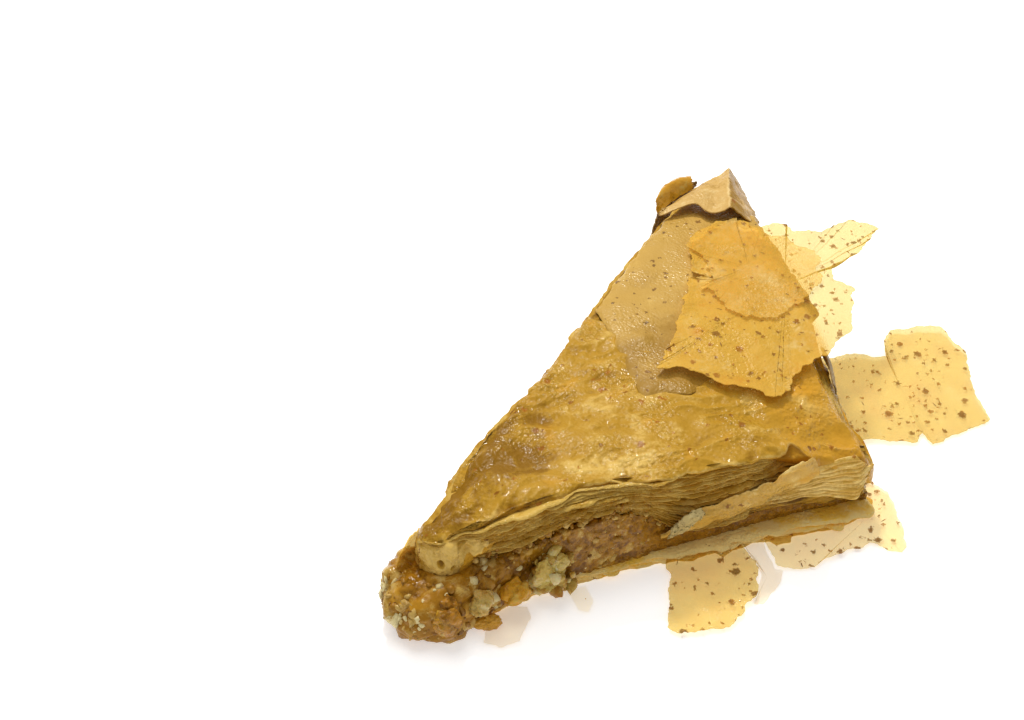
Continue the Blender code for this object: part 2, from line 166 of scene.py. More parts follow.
EDGE_SLIVER = (
    ((24.0, -7.0, 18.4), (24.0, -9.5, 18.0), (23.6, -12.0, 17.4), (23.2, -14.6, 16.2)),
    ((24.9, -6.6, 17.4), (24.9, -9.5, 16.8), (24.4, -12.2, 16.2), (23.6, -15.0, 15.4)),
    ((25.1, -6.4, 15.6), (25.1, -9.5, 14.8), (24.6, -12.4, 14.4), (23.7, -15.2, 14.2)),
)
AMBER_BIT = (
    ((11.0, 36.6, 18.6), (13.5, 38.0, 18.8), (16.6, 39.8, 18.8), (20.5, 41.6, 18.8)),
    ((11.2, 38.4, 20.4), (13.6, 40.4, 20.8), (17.0, 42.2, 20.8), (20.8, 43.0, 20.2)),
    ((11.8, 39.4, 20.2), (14.2, 42.0, 20.6), (17.6, 43.6, 20.6), (21.2, 44.2, 20.0)),
)


# ---------------------------------------------------------------- noise and profiles


def ease(t):
    """Rises from 0 to 1 as 3t^2 - 2t^3, and is level outside."""
    t = np.clip(t, 0.0, 1.0)
    return t * t * (3.0 - 2.0 * t)


def along(profile, x):
    """The value at x of a profile of (x, value) points, eased between them and level past the ends."""
    at, value = np.array(profile, float).T
    i = np.clip(np.searchsorted(at, x) - 1, 0, len(at) - 2)
    return value[i] + (value[i + 1] - value[i]) * ease((x - at[i]) / (at[i + 1] - at[i]))


def unit(vectors):
    """The vectors, each divided by its length."""
    vectors = np.asarray(vectors, float)
    return vectors / np.maximum(np.linalg.norm(vectors, axis=-1, keepdims=True), 1e-9)


def scrambled(cells, seed):
    """A whole number for each grid cell: its coordinates times large primes, mixed by shifts."""
    mask = 0xFFFFFFFF
    h = (cells * np.array((73856093, 19349663, 83492791), np.int64)).sum(-1)
    h = (h ^ (seed * 40503171)) & mask
    h = ((h ^ (h >> 15)) * 2246822519) & mask
    h = ((h ^ (h >> 13)) * 3266489917) & mask
    return h ^ (h >> 16)


def in_space(points):
    """Points in a plane get a third coordinate."""
    if points.shape[-1] == 3:
        return points
    return np.concatenate((points, np.full(points.shape[:-1] + (1,), 0.37)), axis=-1)


def spiral_directions(count):
    """Directions spread evenly over a ball, along the golden spiral."""
    k = np.arange(count) + 0.5
    z = 1.0 - 2.0 * k / count
    turn = math.pi * (1.0 + math.sqrt(5.0)) * k
    return np.column_stack((np.cos(turn) * np.sqrt(1 - z * z), np.sin(turn) * np.sqrt(1 - z * z), z))


SLOPES = spiral_directions(32)


def noise(points, size, seed):
    """Smooth noise from about -1 to 1 with lumps of a size: the eased mean of the slopes at the eight
    corners of each grid cell."""
    p = in_space(np.asarray(points, float) / np.asarray(size, float)) + 0.5 * seed
    cell = np.floor(p).astype(np.int64)
    inside = p - cell
    share = inside**3 * (inside * (inside * 6.0 - 15.0) + 10.0)
    total = np.zeros(p.shape[:-1])
    for corner in np.ndindex(2, 2, 2):
        corner = np.array(corner)
        slope = SLOPES[scrambled(cell + corner, seed) & 31]
        weight = np.prod(np.where(corner == 1, share, 1.0 - share), axis=-1)
        total += weight * ((inside - corner) * slope).sum(-1)
    return 1.7 * total


def rough_noise(points, size, seed, octaves=4, gain=0.5):
    """Noise added to itself at half the size and gain times the height, octave by octave."""
    size = np.asarray(size, float)
    return sum(noise(points, size / 2.0**i, seed + 17 * i) * gain**i for i in range(octaves))


def lumps(points, size, seed):
    """Distances to the nearest and second nearest of points strewn one to a grid cell, in cells, and a
    random share for the nearest one."""
    p = in_space(np.asarray(points, float) / size)
    cell = np.floor(p).astype(np.int64)
    first = np.full(p.shape[:-1], 9.0)
    second = first.copy()
    share = np.zeros(p.shape[:-1])
    for step in np.ndindex(3, 3, 3):
        there = cell + np.array(step) - 1
        h = scrambled(there, seed)
        spot = there + np.stack((h & 1023, (h >> 10) & 1023, (h >> 20) & 1023), axis=-1) / 1023.0
        distance = np.linalg.norm(p - spot, axis=-1)
        nearer = distance < first
        second = np.where(nearer, first, np.minimum(second, distance))
        share = np.where(nearer, ((h >> 5) & 255) / 255.0, share)
        first = np.where(nearer, distance, first)
    return first, second, share


def bell(points, x, y, radius):
    """A soft round spot: exp of minus the squared distance over the squared radius."""
    return np.exp(-((points[..., 0] - x) ** 2 + (points[..., 1] - y) ** 2) / radius**2)


def top_height(points):
    """The top in plan: level, lower over the tip's nose, and pressed down at the other two corners."""
    return (
        along(TOP_ROOF, points[..., 0])
        - 6.0 * bell(points, *TRIANGLE[1], 15.0)
        - 2.2 * bell(points, *TRIANGLE[2], 14.0)
    )


def triangle_edge(front_step, right_step, diagonal_step):
    """The rounded triangle, anticlockwise from the tip: arcs of a circle joined by straight runs, as
    points in plan with their outward directions."""
    arcs = []
    for i, radius in enumerate(CORNER_RADII):
        corner = TRIANGLE[i]
        back = unit(TRIANGLE[i - 1] - corner)
        ahead = unit(TRIANGLE[(i + 1) % 3] - corner)
        half = math.acos(float(np.dot(back, ahead))) / 2.0
        centre = corner + unit(back + ahead) * radius / math.sin(half)
        first = corner + back * radius / math.tan(half) - centre
        turn = math.pi - 2.0 * half
        angle = math.atan2(first[1], first[0]) + turn * np.linspace(0, 1, round(radius * turn / 0.22) + 2)
        outward = np.column_stack((np.cos(angle), np.sin(angle)))
        arcs.append((centre + outward * radius, outward))
    points, normals = [], []
    for i, step in enumerate((front_step, right_step, diagonal_step)):
        arc, outward = arcs[i]
        end = arcs[(i + 1) % 3][0][0]
        count = round(float(np.linalg.norm(end - arc[-1])) / step)
        share = np.arange(1, count)[:, None] / count
        points += [arc, arc[-1] + (end - arc[-1]) * share]
        normals += [outward, np.repeat(outward[-1:], count - 1, axis=0)]
    return np.vstack(points), np.vstack(normals)


def spill(x):
    """How much of the spill at the tip is reached at x."""
    return ease((SPILL_FROM - x) / (SPILL_FROM - SPILL_FULL))


def edge_reach(points, outward, front, spilled=False, inset=0.0):
    """How far a layer's edge stands out: its front profile where it faces the front, the bow of the
    diagonal cut, the spill round the tip, and less a share of the inset of the right side."""
    x = points[:, 0]
    reach = np.clip(-outward[:, 1], 0, 1) ** 2 * along(front, x)
    reach = reach - inset * np.clip(outward[:, 0], 0, 1) ** 2 * along(RIGHT_INSET, points[:, 1])
    reach = reach + ((outward[:, 0] < 0) & (outward[:, 1] > 0)) * along(DIAGONAL_BOW, x)
    if spilled:
        round_tip = 0.35 + 0.65 * np.clip(-outward[:, 0] - outward[:, 1], 0, None)
        reach = reach + SPILL_REACH * spill(x) * round_tip
    return reach


# ---------------------------------------------------------------- meshes


def grid_quads(rows, columns, wrap_rows=False, wrap_columns=False):
    """Four-sided faces of a grid of points, counted row by row."""
    r = np.arange(rows if wrap_rows else rows - 1)[:, None]
    c = np.arange(columns if wrap_columns else columns - 1)[None]
    r2, c2 = (r + 1) % rows, (c + 1) % columns
    corners = (r * columns + c, r * columns + c2, r2 * columns + c2, r2 * columns + c)
    return np.stack(np.broadcast_arrays(*corners), axis=-1).reshape(-1, 4)


def add_piece(name, points, faces, material, slot, replaces=(), flat=False, **shares):
    """A mesh object in the frame from points in millimetres and lists of faces. Each further named
    array becomes an attribute that the material can read."""
    mesh = bpy.data.meshes.new(name)
    points = (np.asarray(points, float).reshape(-1, 3) + PLAN_SHIFT) * MM
    mesh.vertices.add(len(points))
    mesh.vertices.foreach_set("co", points.ravel())
    faces = [np.asarray(f) for f in faces if len(f)]
    corners = np.concatenate([f.ravel() for f in faces])
    sizes = np.concatenate([np.full(len(f), f.shape[1]) for f in faces])
    mesh.loops.add(len(corners))
    mesh.loops.foreach_set("vertex_index", corners.astype(np.int32))
    mesh.polygons.add(len(sizes))
    mesh.polygons.foreach_set("loop_start", (np.cumsum(sizes) - sizes).astype(np.int32))
    mesh.update(calc_edges=True)
    for key, values in shares.items():
        attribute = mesh.attributes.new(key, "FLOAT", "POINT")
        attribute.data.foreach_set("value", np.asarray(values, float).ravel())
    mesh.materials.append(material)
    if flat:
        mesh.shade_flat()
    else:
        mesh.shade_smooth()
    piece = bpy.data.objects.new(name, mesh)
    bpy.context.scene.collection.objects.link(piece)
    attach(piece, "root")
    if replaces:
        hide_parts(*replaces)
    return piece


def closed_rings(rows):
    """Points and faces of a closed body: rings stacked from the lowest inner one, out and up, to the
    highest inner one, each end closed by a fan to the middle of its ring."""
    rows = np.asarray(rows, float)
    count, around = rows.shape[:2]
    middle = rows[[0, -1]].mean(axis=1)
    points = np.vstack((rows.reshape(-1, 3), middle))
    here = np.arange(around)
    after = (here + 1) % around
    last = (count - 1) * around
    low = np.column_stack((after, here, np.full(around, count * around)))
    high = np.column_stack((last + here, last + after, np.full(around, count * around + 1)))
    return points, [grid_quads(count, around, wrap_columns=True), np.vstack((low, high))]


def with_ends(values):
    """An attribute's values for closed_rings: the rows, then the mean of the first and last."""
    values = np.asarray(values, float)
    return np.concatenate((values.ravel(), [values[0].mean(), values[-1].mean()]))


def grid_normals(grid, wrap_columns=False):
    """Unit normals of a grid: along the columns crossed with up the rows."""
    if wrap_columns:
        across = np.roll(grid, -1, axis=1) - np.roll(grid, 1, axis=1)
    else:
        across = np.gradient(grid, axis=1)
    return unit(np.cross(across, np.gradient(grid, axis=0)))


def closed_shell(grid, thickness):
    """Points and faces of a thin shell: a grid, its copy set back by a thickness along the normals, and
    a wall round the rim. A thickness can vary over the grid."""
    rows, columns = grid.shape[:2]
    back = grid - grid_normals(grid) * np.broadcast_to(np.asarray(thickness, float), (rows, columns))[..., None]
    size = rows * columns
    front_faces = grid_quads(rows, columns)
    index = np.arange(size).reshape(rows, columns)
    rim = np.concatenate((index[0], index[1:, -1], index[-1, -2::-1], index[-2:0:-1, 0]))
    after = np.roll(rim, -1)
    wall = np.column_stack((after, rim, rim + size, after + size))
    points = np.vstack((grid.reshape(-1, 3), back.reshape(-1, 3)))
    return points, [front_faces, front_faces[:, ::-1] + size, wall]


def covering(grid, thickness, tuck):
    """Points and faces of a sheet that lies on a body: the grid, a rim one thickness deep, and a hidden
    underside that runs in to one point, tuck below the sheet's middle."""
    rows, columns = grid.shape[:2]
    size = rows * columns
    index = np.arange(size).reshape(rows, columns)
    rim = np.concatenate((index[0], index[1:, -1], index[-1, -2::-1], index[-2:0:-1, 0]))
    edge = grid.reshape(-1, 3)[rim]
    middle = grid.reshape(-1, 3).mean(axis=0) - np.array((0, 0, tuck))
    under = edge - np.array((0, 0, thickness))
    inner = under + (middle - under) * 0.08 - np.array((0, 0, 0.5))
    points = np.vstack((grid.reshape(-1, 3), under, inner, middle[None]))
    here = np.arange(len(rim))
    after = (here + 1) % len(rim)
    first = np.column_stack((rim[after], rim, size + here, size + after))
    offset = size + len(rim)
    second = np.column_stack((size + after, size + here, offset + here, offset + after))
    fan = np.column_stack((offset + after, offset + here, np.full(len(rim), offset + len(rim))))
    return points, [grid_quads(rows, columns), first, second, fan]


def spline_shares(controls, samples):
    """Weights of evenly spaced control points at samples from 0 to 1, for a curve through them all."""
    t = np.clip(np.asarray(samples, float), 0, 1) * (controls - 1)
    i = np.clip(np.floor(t).astype(int), 0, controls - 2)
    f = t - i
    weights = np.zeros((len(t), controls + 2))
    rows = np.arange(len(t))
    parts = (
        0.5 * (-(f**3) + 2 * f**2 - f),
        0.5 * (3 * f**3 - 5 * f**2 + 2),
        0.5 * (-3 * f**3 + 4 * f**2 + f),
        0.5 * (f**3 - f**2),
    )
    for k, part in enumerate(parts):
        weights[rows, i + k] += part
    inner = weights[:, 1:-1].copy()
    inner[:, 0] += 2 * weights[:, 0]
    inner[:, 1] -= weights[:, 0]
    inner[:, -1] += 2 * weights[:, -1]
    inner[:, -2] -= weights[:, -1]
    return inner


def curved_grid(rows, down, across, ragged=0.0, seed=0):
    """A smooth surface through rows of control points, whose four edges are torn: each edge is moved in
    by a share of the sheet's width that is rough along it."""
    controls = np.array(rows, float)
    u = np.linspace(0, 1, down)
    v = np.linspace(0, 1, across)
    if not ragged:
        return np.einsum("ia,abk,jb->ijk", spline_shares(len(rows), u), controls,
                         spline_shares(controls.shape[1], v))

    def torn(length, side):
        line = np.column_stack((np.linspace(0, 7, length), np.full(length, 3.1 * side)))
        return ragged * (0.5 + 0.5 * rough_noise(line, 1.0, seed + side, 4, 0.6))

    low, high = torn(across, 1), 1.0 - torn(across, 2)
    left, right = torn(down, 3), 1.0 - torn(down, 4)
    uu = low[None] + (high - low)[None] * u[:, None]
    vv = left[:, None] + (right - left)[:, None] * v[None]
    su = spline_shares(len(rows), uu.ravel())
    sv = spline_shares(controls.shape[1], vv.ravel())
    return np.einsum("na,abk,nb->nk", su, controls, sv).reshape(down, across, 3)


def torn_edge(corners, count, ragged, seed):
    """A closed torn line through corner points: straight between them, softened, and moved out and in by
    rough noise."""
    closed = np.vstack((corners, corners[:1])).astype(float)
    at = np.concatenate(([0.0], np.cumsum(np.linalg.norm(np.diff(closed, axis=0), axis=1))))
    s = np.linspace(0.0, at[-1], count, endpoint=False)
    line = np.column_stack([np.interp(s, at, closed[:, k]) for k in (0, 1)])
    soften = max(1, round(0.5 * count / at[-1]))
    for _ in range(soften):
        line = (np.roll(line, 1, axis=0) + 2.0 * line + np.roll(line, -1, axis=0)) / 4.0
    run = np.roll(line, -1, axis=0) - np.roll(line, 1, axis=0)
    outward = unit(np.column_stack((run[:, 1], -run[:, 0])))
    return line + outward * (ragged * rough_noise(line, 3.2, seed, 4, 0.6))[:, None]


def torn_sheet(corners, centre, height, thickness, count, rings, ragged, seed):
    """A flat torn sheet: rings from its middle out to its torn edge, at a height, and back at that
    height plus its thickness. Also gives each point's share of the way out."""
    line = torn_edge(np.array(corners), count, ragged, seed)
    out = np.linspace(0.0, 1.0, rings + 1)[1:] ** 0.85
    plan = np.array(centre) + (line - np.array(centre))[None] * out[:, None, None]
    low = height(plan, out[:, None])
    thick = thickness * (1.0 - 0.45 * out[:, None] ** 6)
    under = np.concatenate((plan, low[..., None]), axis=-1)
    over = np.concatenate((plan, (low + thick)[..., None]), axis=-1)[::-1]
    points, faces = closed_rings(np.concatenate((under, over)))
    share = with_ends(np.concatenate((np.repeat(out[:, None], count, 1), np.repeat(out[::-1, None], count, 1))))
    return points, faces, share


def chips(count, sides, seed, rows=6, columns=8):
    """Points of many broken bits about their middles, and the faces of one: a ball of rows and columns
    cut by random planes, its radius the soft least of the planes' distances."""
    rng = np.random.default_rng(seed)
    polar = np.linspace(0, math.pi, rows + 1)[1:-1]
    turn = np.linspace(0, 2 * math.pi, columns, endpoint=False)
    ball = np.stack((
        np.sin(polar)[:, None] * np.cos(turn)[None],
        np.sin(polar)[:, None] * np.sin(turn)[None],
        np.repeat(-np.cos(polar)[:, None], columns, axis=1),
    ), axis=-1).reshape(-1, 3)
    ball = np.vstack((ball, (0, 0, -1), (0, 0, 1)))
    planes = unit(rng.normal(size=(count, sides, 3)))
    distance = rng.uniform(0.55, 1.0, size=(count, sides))
    facing = np.clip(np.einsum("nk,csk->cns", ball, planes), 0, None) / distance[:, None]
    radius = 1.0 / np.maximum((facing**9).sum(-1) ** (1 / 9), 0.75)
    quads = grid_quads(rows - 1, columns, wrap_columns=True)
    here = np.arange(columns)
    after = (here + 1) % columns
    last = (rows - 2) * columns
    size = (rows - 1) * columns
    low = np.column_stack((after, here, np.full(columns, size)))
    high = np.column_stack((last + here, last + after, np.full(columns, size + 1)))
    return ball[None] * radius[..., None], quads, np.vstack((low, high))


def random_turns(count, seed):
    """Random rotation matrices, from random unit quaternions."""
    w, x, y, z = unit(np.random.default_rng(seed).normal(size=(count, 4))).T
    return np.stack((
        np.stack((1 - 2 * (y * y + z * z), 2 * (x * y - w * z), 2 * (x * z + w * y)), axis=-1),
        np.stack((2 * (x * y + w * z), 1 - 2 * (x * x + z * z), 2 * (y * z - w * x)), axis=-1),
        np.stack((2 * (x * z - w * y), 2 * (y * z + w * x), 1 - 2 * (x * x + y * y)), axis=-1),
    ), axis=1)


def scatter(name, spots, sizes, stretch, sides, material, slot, seed, replaces=()):
    """Broken bits at spots, each turned at random, as one piece. Each bit has its own random tone."""
    shapes, quads, ends = chips(len(spots), sides, seed)
    rng = np.random.default_rng(seed + 1)
    form = rng.uniform(1.0 - stretch, 1.0 + stretch, size=(len(spots), 1, 3))
    shapes = shapes * form * np.asarray(sizes)[:, None, None]
    points = np.einsum("cij,cnj->cni", random_turns(len(spots), seed + 2), shapes) + spots[:, None]
    step = (np.arange(len(spots)) * shapes.shape[1])[:, None, None]
    tone = np.repeat(rng.uniform(0, 1, len(spots))[:, None], shapes.shape[1], axis=1)
    faces = [(quads[None] + step).reshape(-1, 4), (ends[None] + step).reshape(-1, 3)]
    return add_piece(name, points, faces, material, slot, replaces, tone=tone)


# ---------------------------------------------------------------- materials


def add_node(tree, kind, inputs=None, **settings):
    """A node of a kind with its settings, each named input joined to a socket or set to a value."""
    node = tree.nodes.new(kind)
    for key, value in settings.items():
        setattr(node, key, value)
    for key, value in (inputs or {}).items():
        if isinstance(value, bpy.types.NodeSocket):
            tree.links.new(value, node.inputs[key])
        else:
            node.inputs[key].default_value = value
    return node


def calculate(tree, operation, first, second=0.0, third=0.0, clamp=False):
    """One sum of up to three values."""
    inputs = {0: first, 1: second, 2: third}
    return add_node(tree, "ShaderNodeMath", inputs, operation=operation, use_clamp=clamp).outputs[0]


def blend_colours(tree, share, first, second, blend="MIX"):
    """The first colour changed to the second by a share."""
    inputs = {0: share, 6: first, 7: second}
    return add_node(tree, "ShaderNodeMix", inputs, data_type="RGBA", blend_type=blend).outputs[2]


def between(tree, value, low, high, to_low=0.0, to_high=1.0):
    """A value carried smoothly from one range to another, and level outside."""
    inputs = {"Value": value, "From Min": low, "From Max": high, "To Min": to_low, "To Max": to_high}
    return add_node(tree, "ShaderNodeMapRange", inputs, interpolation_type="SMOOTHSTEP").outputs[0]


def new_group(name, inputs, outputs):
    """An empty shader group with named inputs and outputs, and its sockets inside."""
    group = bpy.data.node_groups.new(name, "ShaderNodeTree")
    for label, kind, value in inputs:
        socket = group.interface.new_socket(label, in_out="INPUT", socket_type="NodeSocket" + kind)
        if value is not None:
            socket.default_value = value
    for label, kind in outputs:
        group.interface.new_socket(label, in_out="OUTPUT", socket_type="NodeSocket" + kind)
    return group, group.nodes.new("NodeGroupInput").outputs, group.nodes.new("NodeGroupOutput").inputs


def bran_flecks_group(name, dimensions):
    """Brown bran flecks: spots of uneven outline at the middles of some cells, as a mask, and how dark
    each is. Flecks in two dimensions suit a level sheet, and those in three suit any surface."""
    group, given, out = new_group(
        name,
        (("Vector", "Vector", None), ("Spacing", "Float", 2.5), ("Share", "Float", 0.4), ("Size", "Float", 0.25)),
        (("Mask", "Float"), ("Dark", "Float")),
    )
    wobble = add_node(group, "ShaderNodeTexNoise", {"Vector": given["Vector"], "Scale": 2200.0, "Detail": 2.0})
    shift = add_node(group, "ShaderNodeVectorMath", {0: wobble.outputs["Color"], 1: (-0.5, -0.5, -0.5)})
    shift = add_node(group, "ShaderNodeVectorMath", {0: shift.outputs[0], "Scale": 0.0013}, operation="SCALE")
    moved = add_node(group, "ShaderNodeVectorMath", {0: given["Vector"], 1: shift.outputs[0]})
    scale = calculate(group, "DIVIDE", 1000.0, given["Spacing"])
    cells = add_node(group, "ShaderNodeTexVoronoi", {"Vector": moved.outputs[0], "Scale": scale},
                     voronoi_dimensions=dimensions)
    own = add_node(group, "ShaderNodeSeparateColor", {0: cells.outputs["Color"]}).outputs
    radius = calculate(group, "MULTIPLY", given["Size"], calculate(group, "MULTIPLY_ADD", own[1], 0.9, 0.35))
    depth = calculate(group, "SUBTRACT", radius, cells.outputs["Distance"])
    spot = between(group, depth, 0.0, 0.05)
    gather = add_node(group, "ShaderNodeTexNoise", {"Vector": given["Vector"], "Scale": 140.0, "Detail": 1.0})
    share = calculate(group, "MULTIPLY", given["Share"], between(group, gather.outputs[0], 0.35, 0.62, 0.3, 1.9))
    here = calculate(group, "LESS_THAN", own[0], share)
    group.links.new(calculate(group, "MULTIPLY", spot, here), out["Mask"])
    group.links.new(own[2], out["Dark"])
    return group


def baked_tone_group():
    """Uneven baking: golden pastry that turns paler or browner in patches of two sizes, pushed towards
    either by a lift from 0 to 1."""
    group, given, out = new_group(
        "baked tone",
        (("Vector", "Vector", None), ("Patch", "Float", 6.0), ("Lift", "Float", 0.5), ("Contrast", "Float", 1.0),
         ("Golden", "Color", None), ("Pale", "Color", None), ("Brown", "Color", None)),
        (("Color", "Color"), ("Tone", "Float")),
    )
    scale = calculate(group, "DIVIDE", 1000.0, given["Patch"])
    broad = add_node(group, "ShaderNodeTexNoise",
                     {"Vector": given["Vector"], "Scale": scale, "Detail": 5.0, "Roughness": 0.6})
    fine = add_node(group, "ShaderNodeTexNoise",
                    {"Vector": given["Vector"], "Scale": calculate(group, "MULTIPLY", scale, 7.0),
                     "Detail": 4.0, "Roughness": 0.65})
    both = calculate(group, "MULTIPLY_ADD", fine.outputs[0], 0.6, broad.outputs[0])
    swing = calculate(group, "MULTIPLY", calculate(group, "SUBTRACT", both, 0.8), given["Contrast"])
    tone = calculate(group, "ADD", given["Lift"], swing)
    pale = between(group, tone, 0.52, 0.95)
    brown = between(group, tone, 0.48, 0.05)
    colour = blend_colours(group, pale, given["Golden"], given["Pale"])
    group.links.new(blend_colours(group, brown, colour, given["Brown"]), out["Color"])
    group.links.new(tone, out["Tone"])
    return group


def soaked_grain_group():
    """The fine relief of soaked pastry: rough noise and small blisters, stronger in patches, and how wet
    each patch is."""
    group, given, out = new_group(
        "soaked grain",
        (("Vector", "Vector", None), ("Grain", "Float", 0.9), ("Patch", "Float", 9.0)),
        (("Height", "Float"), ("Wet", "Float")),
    )
    scale = calculate(group, "DIVIDE", 1000.0, given["Grain"])
    rough = add_node(group, "ShaderNodeTexNoise",
                     {"Vector": given["Vector"], "Scale": scale, "Detail": 2.0, "Roughness": 0.45})
    blister = add_node(group, "ShaderNodeTexVoronoi", {"Vector": given["Vector"], "Scale": scale},
                       feature="SMOOTH_F1")
    patch = add_node(group, "ShaderNodeTexNoise",
                     {"Vector": given["Vector"], "Scale": calculate(group, "DIVIDE", 1000.0, given["Patch"]),
                      "Detail": 2.0})
    wet = between(group, patch.outputs[0], 0.38, 0.62)
    height = calculate(group, "MULTIPLY_ADD", blister.outputs["Distance"], -0.7, rough.outputs[0])
    strength = calculate(group, "MULTIPLY_ADD", wet, 0.7, 0.3)
    group.links.new(calculate(group, "MULTIPLY", height, strength), out["Height"])
    group.links.new(wet, out["Wet"])
    return group


def sheet_lines_group():
    """The edges of many thin sheets seen from the side: fine level bands, bent by noise, as a height and
    a mask of the gaps, which the material darkens as wet syrup with painted shade."""
    group, given, out = new_group(
        "sheet lines",
        (("Vector", "Vector", None), ("Spacing", "Float", 0.5)),
        (("Height", "Float"), ("Gap", "Float")),
    )
    flatten = add_node(group, "ShaderNodeVectorMath",
                       {0: given["Vector"], 1: (0.12, 0.12, 1.0)}, operation="MULTIPLY")
    scale = calculate(group, "DIVIDE", 1000.0, given["Spacing"])
    bands = add_node(group, "ShaderNodeTexNoise",
                     {"Vector": flatten.outputs[0], "Scale": scale, "Detail": 3.0, "Roughness": 0.5,
                      "Distortion": 0.4})
    group.links.new(bands.outputs[0], out["Height"])
    group.links.new(between(group, bands.outputs[0], 0.5, 0.32), out["Gap"])
    return group


GROUPS = {
    "bran flecks": lambda: bran_flecks_group("bran flecks", "3D"),
    "level bran flecks": lambda: bran_flecks_group("level bran flecks", "2D"),
    "baked tone": baked_tone_group,
    "soaked grain": soaked_grain_group,
    "sheet lines": sheet_lines_group,
}


def shared_group(key):
    """A shader group, built the first time that it is asked for."""
    return bpy.data.node_groups.get(key) or GROUPS[key]()


def pastry_finish(name, golden, pale, brown, patch=6.0, contrast=1.0, lift=0.5, attribute=None,
                  flecks=(), fleck_colour=(0.30, 0.10, 0.015), roughness=(0.25, 0.5), coat=0.0,
                  coat_roughness=0.08, subsurface=0.0, grain=0.9, grain_patch=9.0, relief=0.25,
                  lines=0.0, wet_gap_shade_colour=(0.09, 0.04, 0.008), see_through=0.0, tint=(1.0, 0.95, 0.7),
                  stain=None, gloss=0.3, level=False, dense=0.0):
    """A material of uneven pastry: baked tone, layers of bran flecks, soaked grain and, where asked for,
    the lines of many sheets with painted shade in their gaps, and a share of light let straight through."""
    material = bpy.data.materials.new(name)
    material.use_nodes = True
    tree = material.node_tree
    shader = tree.nodes["Principled BSDF"]
    place = add_node(tree, "ShaderNodeTexCoord").outputs["Object"]
    if attribute:
        lift = add_node(tree, "ShaderNodeAttribute", attribute_name=attribute).outputs["Fac"]
    tone = add_node(tree, "ShaderNodeGroup", node_tree=shared_group("baked tone"))
    grained = add_node(tree, "ShaderNodeGroup", node_tree=shared_group("soaked grain"))
    for node, values in (
        (tone, {"Vector": place, "Patch": patch, "Lift": lift, "Contrast": contrast,
                "Golden": (*golden, 1), "Pale": (*pale, 1), "Brown": (*brown, 1)}),
        (grained, {"Vector": place, "Grain": grain, "Patch": grain_patch}),
    ):
        for key, value in values.items():
            if isinstance(value, bpy.types.NodeSocket):
                tree.links.new(value, node.inputs[key])
            else:
                node.inputs[key].default_value = value
    colour = tone.outputs["Color"]
    height = grained.outputs["Height"]
    if lines:
        banded = add_node(tree, "ShaderNodeGroup", node_tree=shared_group("sheet lines"))
        tree.links.new(place, banded.inputs["Vector"])
        banded.inputs["Spacing"].default_value = lines
        # The gaps between the sheet lines are darkened: wet syrup, and painted shade between the sheets.
        share = calculate(tree, "MULTIPLY", banded.outputs["Gap"], 0.75)
        colour = blend_colours(tree, share, colour, (*wet_gap_shade_colour, 1))
        height = calculate(tree, "MULTIPLY_ADD", banded.outputs["Height"], 1.5, height)
    if stain:
        mask = add_node(tree, "ShaderNodeAttribute", attribute_name="stain").outputs["Fac"]
        colour = blend_colours(tree, mask, colour, (*stain, 1))
    solid = None
    for spacing, share, size in flecks:
        kind = "level bran flecks" if level else "bran flecks"
        spots = add_node(tree, "ShaderNodeGroup", node_tree=shared_group(kind))
        tree.links.new(place, spots.inputs["Vector"])
        for key, value in (("Spacing", spacing), ("Share", share), ("Size", size)):
            spots.inputs[key].default_value = value
        darker = blend_colours(tree, spots.outputs["Dark"], (*fleck_colour, 1),
                               (*[c * 0.5 for c in fleck_colour], 1))
        strength = calculate(tree, "MULTIPLY", spots.outputs["Mask"], 0.85)
        colour = blend_colours(tree, strength, colour, darker)
        solid = calculate(tree, "MAXIMUM", strength, solid) if solid else strength
    tree.links.new(colour, shader.inputs["Base Color"])
    tree.links.new(between(tree, grained.outputs["Wet"], 0.0, 1.0, roughness[1], roughness[0]),
                   shader.inputs["Roughness"])
    bump = add_node(tree, "ShaderNodeBump", {"Height": height, "Strength": relief, "Distance": 0.0006})
    tree.links.new(bump.outputs[0], shader.inputs["Normal"])
    if coat:
        wet = calculate(tree, "MULTIPLY_ADD", grained.outputs["Wet"], 0.6 * coat, 0.4 * coat)
        tree.links.new(wet, shader.inputs["Coat Weight"])
        tree.links.new(bump.outputs[0], shader.inputs["Coat Normal"])
    shader.inputs["Coat Roughness"].default_value = coat_roughness
    shader.inputs["Coat IOR"].default_value = 1.35
    shader.inputs["Specular IOR Level"].default_value = gloss
    shader.inputs["Specular Tint"].default_value = (1.0, 0.87, 0.62, 1.0)
    shader.inputs["Subsurface Weight"].default_value = subsurface
    shader.inputs["Subsurface Radius"].default_value = (1.0, 0.5, 0.18)
    shader.inputs["Subsurface Scale"].default_value = 0.0012
    if see_through:
        clear = add_node(tree, "ShaderNodeBsdfTransparent", {"Color": (*tint, 1)})
        share = calculate(tree, "MULTIPLY_ADD", solid, -0.8 * see_through, see_through) if solid else see_through
        if dense:
            body = add_node(tree, "ShaderNodeAttribute", attribute_name="over_body").outputs["Fac"]
            share = calculate(tree, "MULTIPLY", share, calculate(tree, "MULTIPLY_ADD", body, -dense, 1.0))
        mixed = add_node(tree, "ShaderNodeMixShader", {0: share, 1: shader.outputs[0], 2: clear.outputs[0]})
        tree.links.new(mixed.outputs[0], tree.nodes["Material Output"].inputs["Surface"])
    return material


# ---------------------------------------------------------------- the pieces


DIMPLES = (  # pressed places in the top: (x, y, radius, depth)
    (-21.5, -22.0, 3.0, 1.0), (-20.0, -27.5, 2.4, 0.9), (-9.0, -14.5, 2.4, 0.5), (-6.5, -21.9, 2.8, 0.7),
    (-4.6, -28.0, 2.6, 0.6), (5.5, -19.0, 2.6, 0.6), (-33.0, -16.0, 4.0, 0.6), (-14.0, -6.0, 3.0, 0.5),
    (-45.0, -18.0, 3.0, 0.5), (10.0, -23.0, 2.0, 0.5), (-28.0, -8.0, 3.5, 0.5),
)


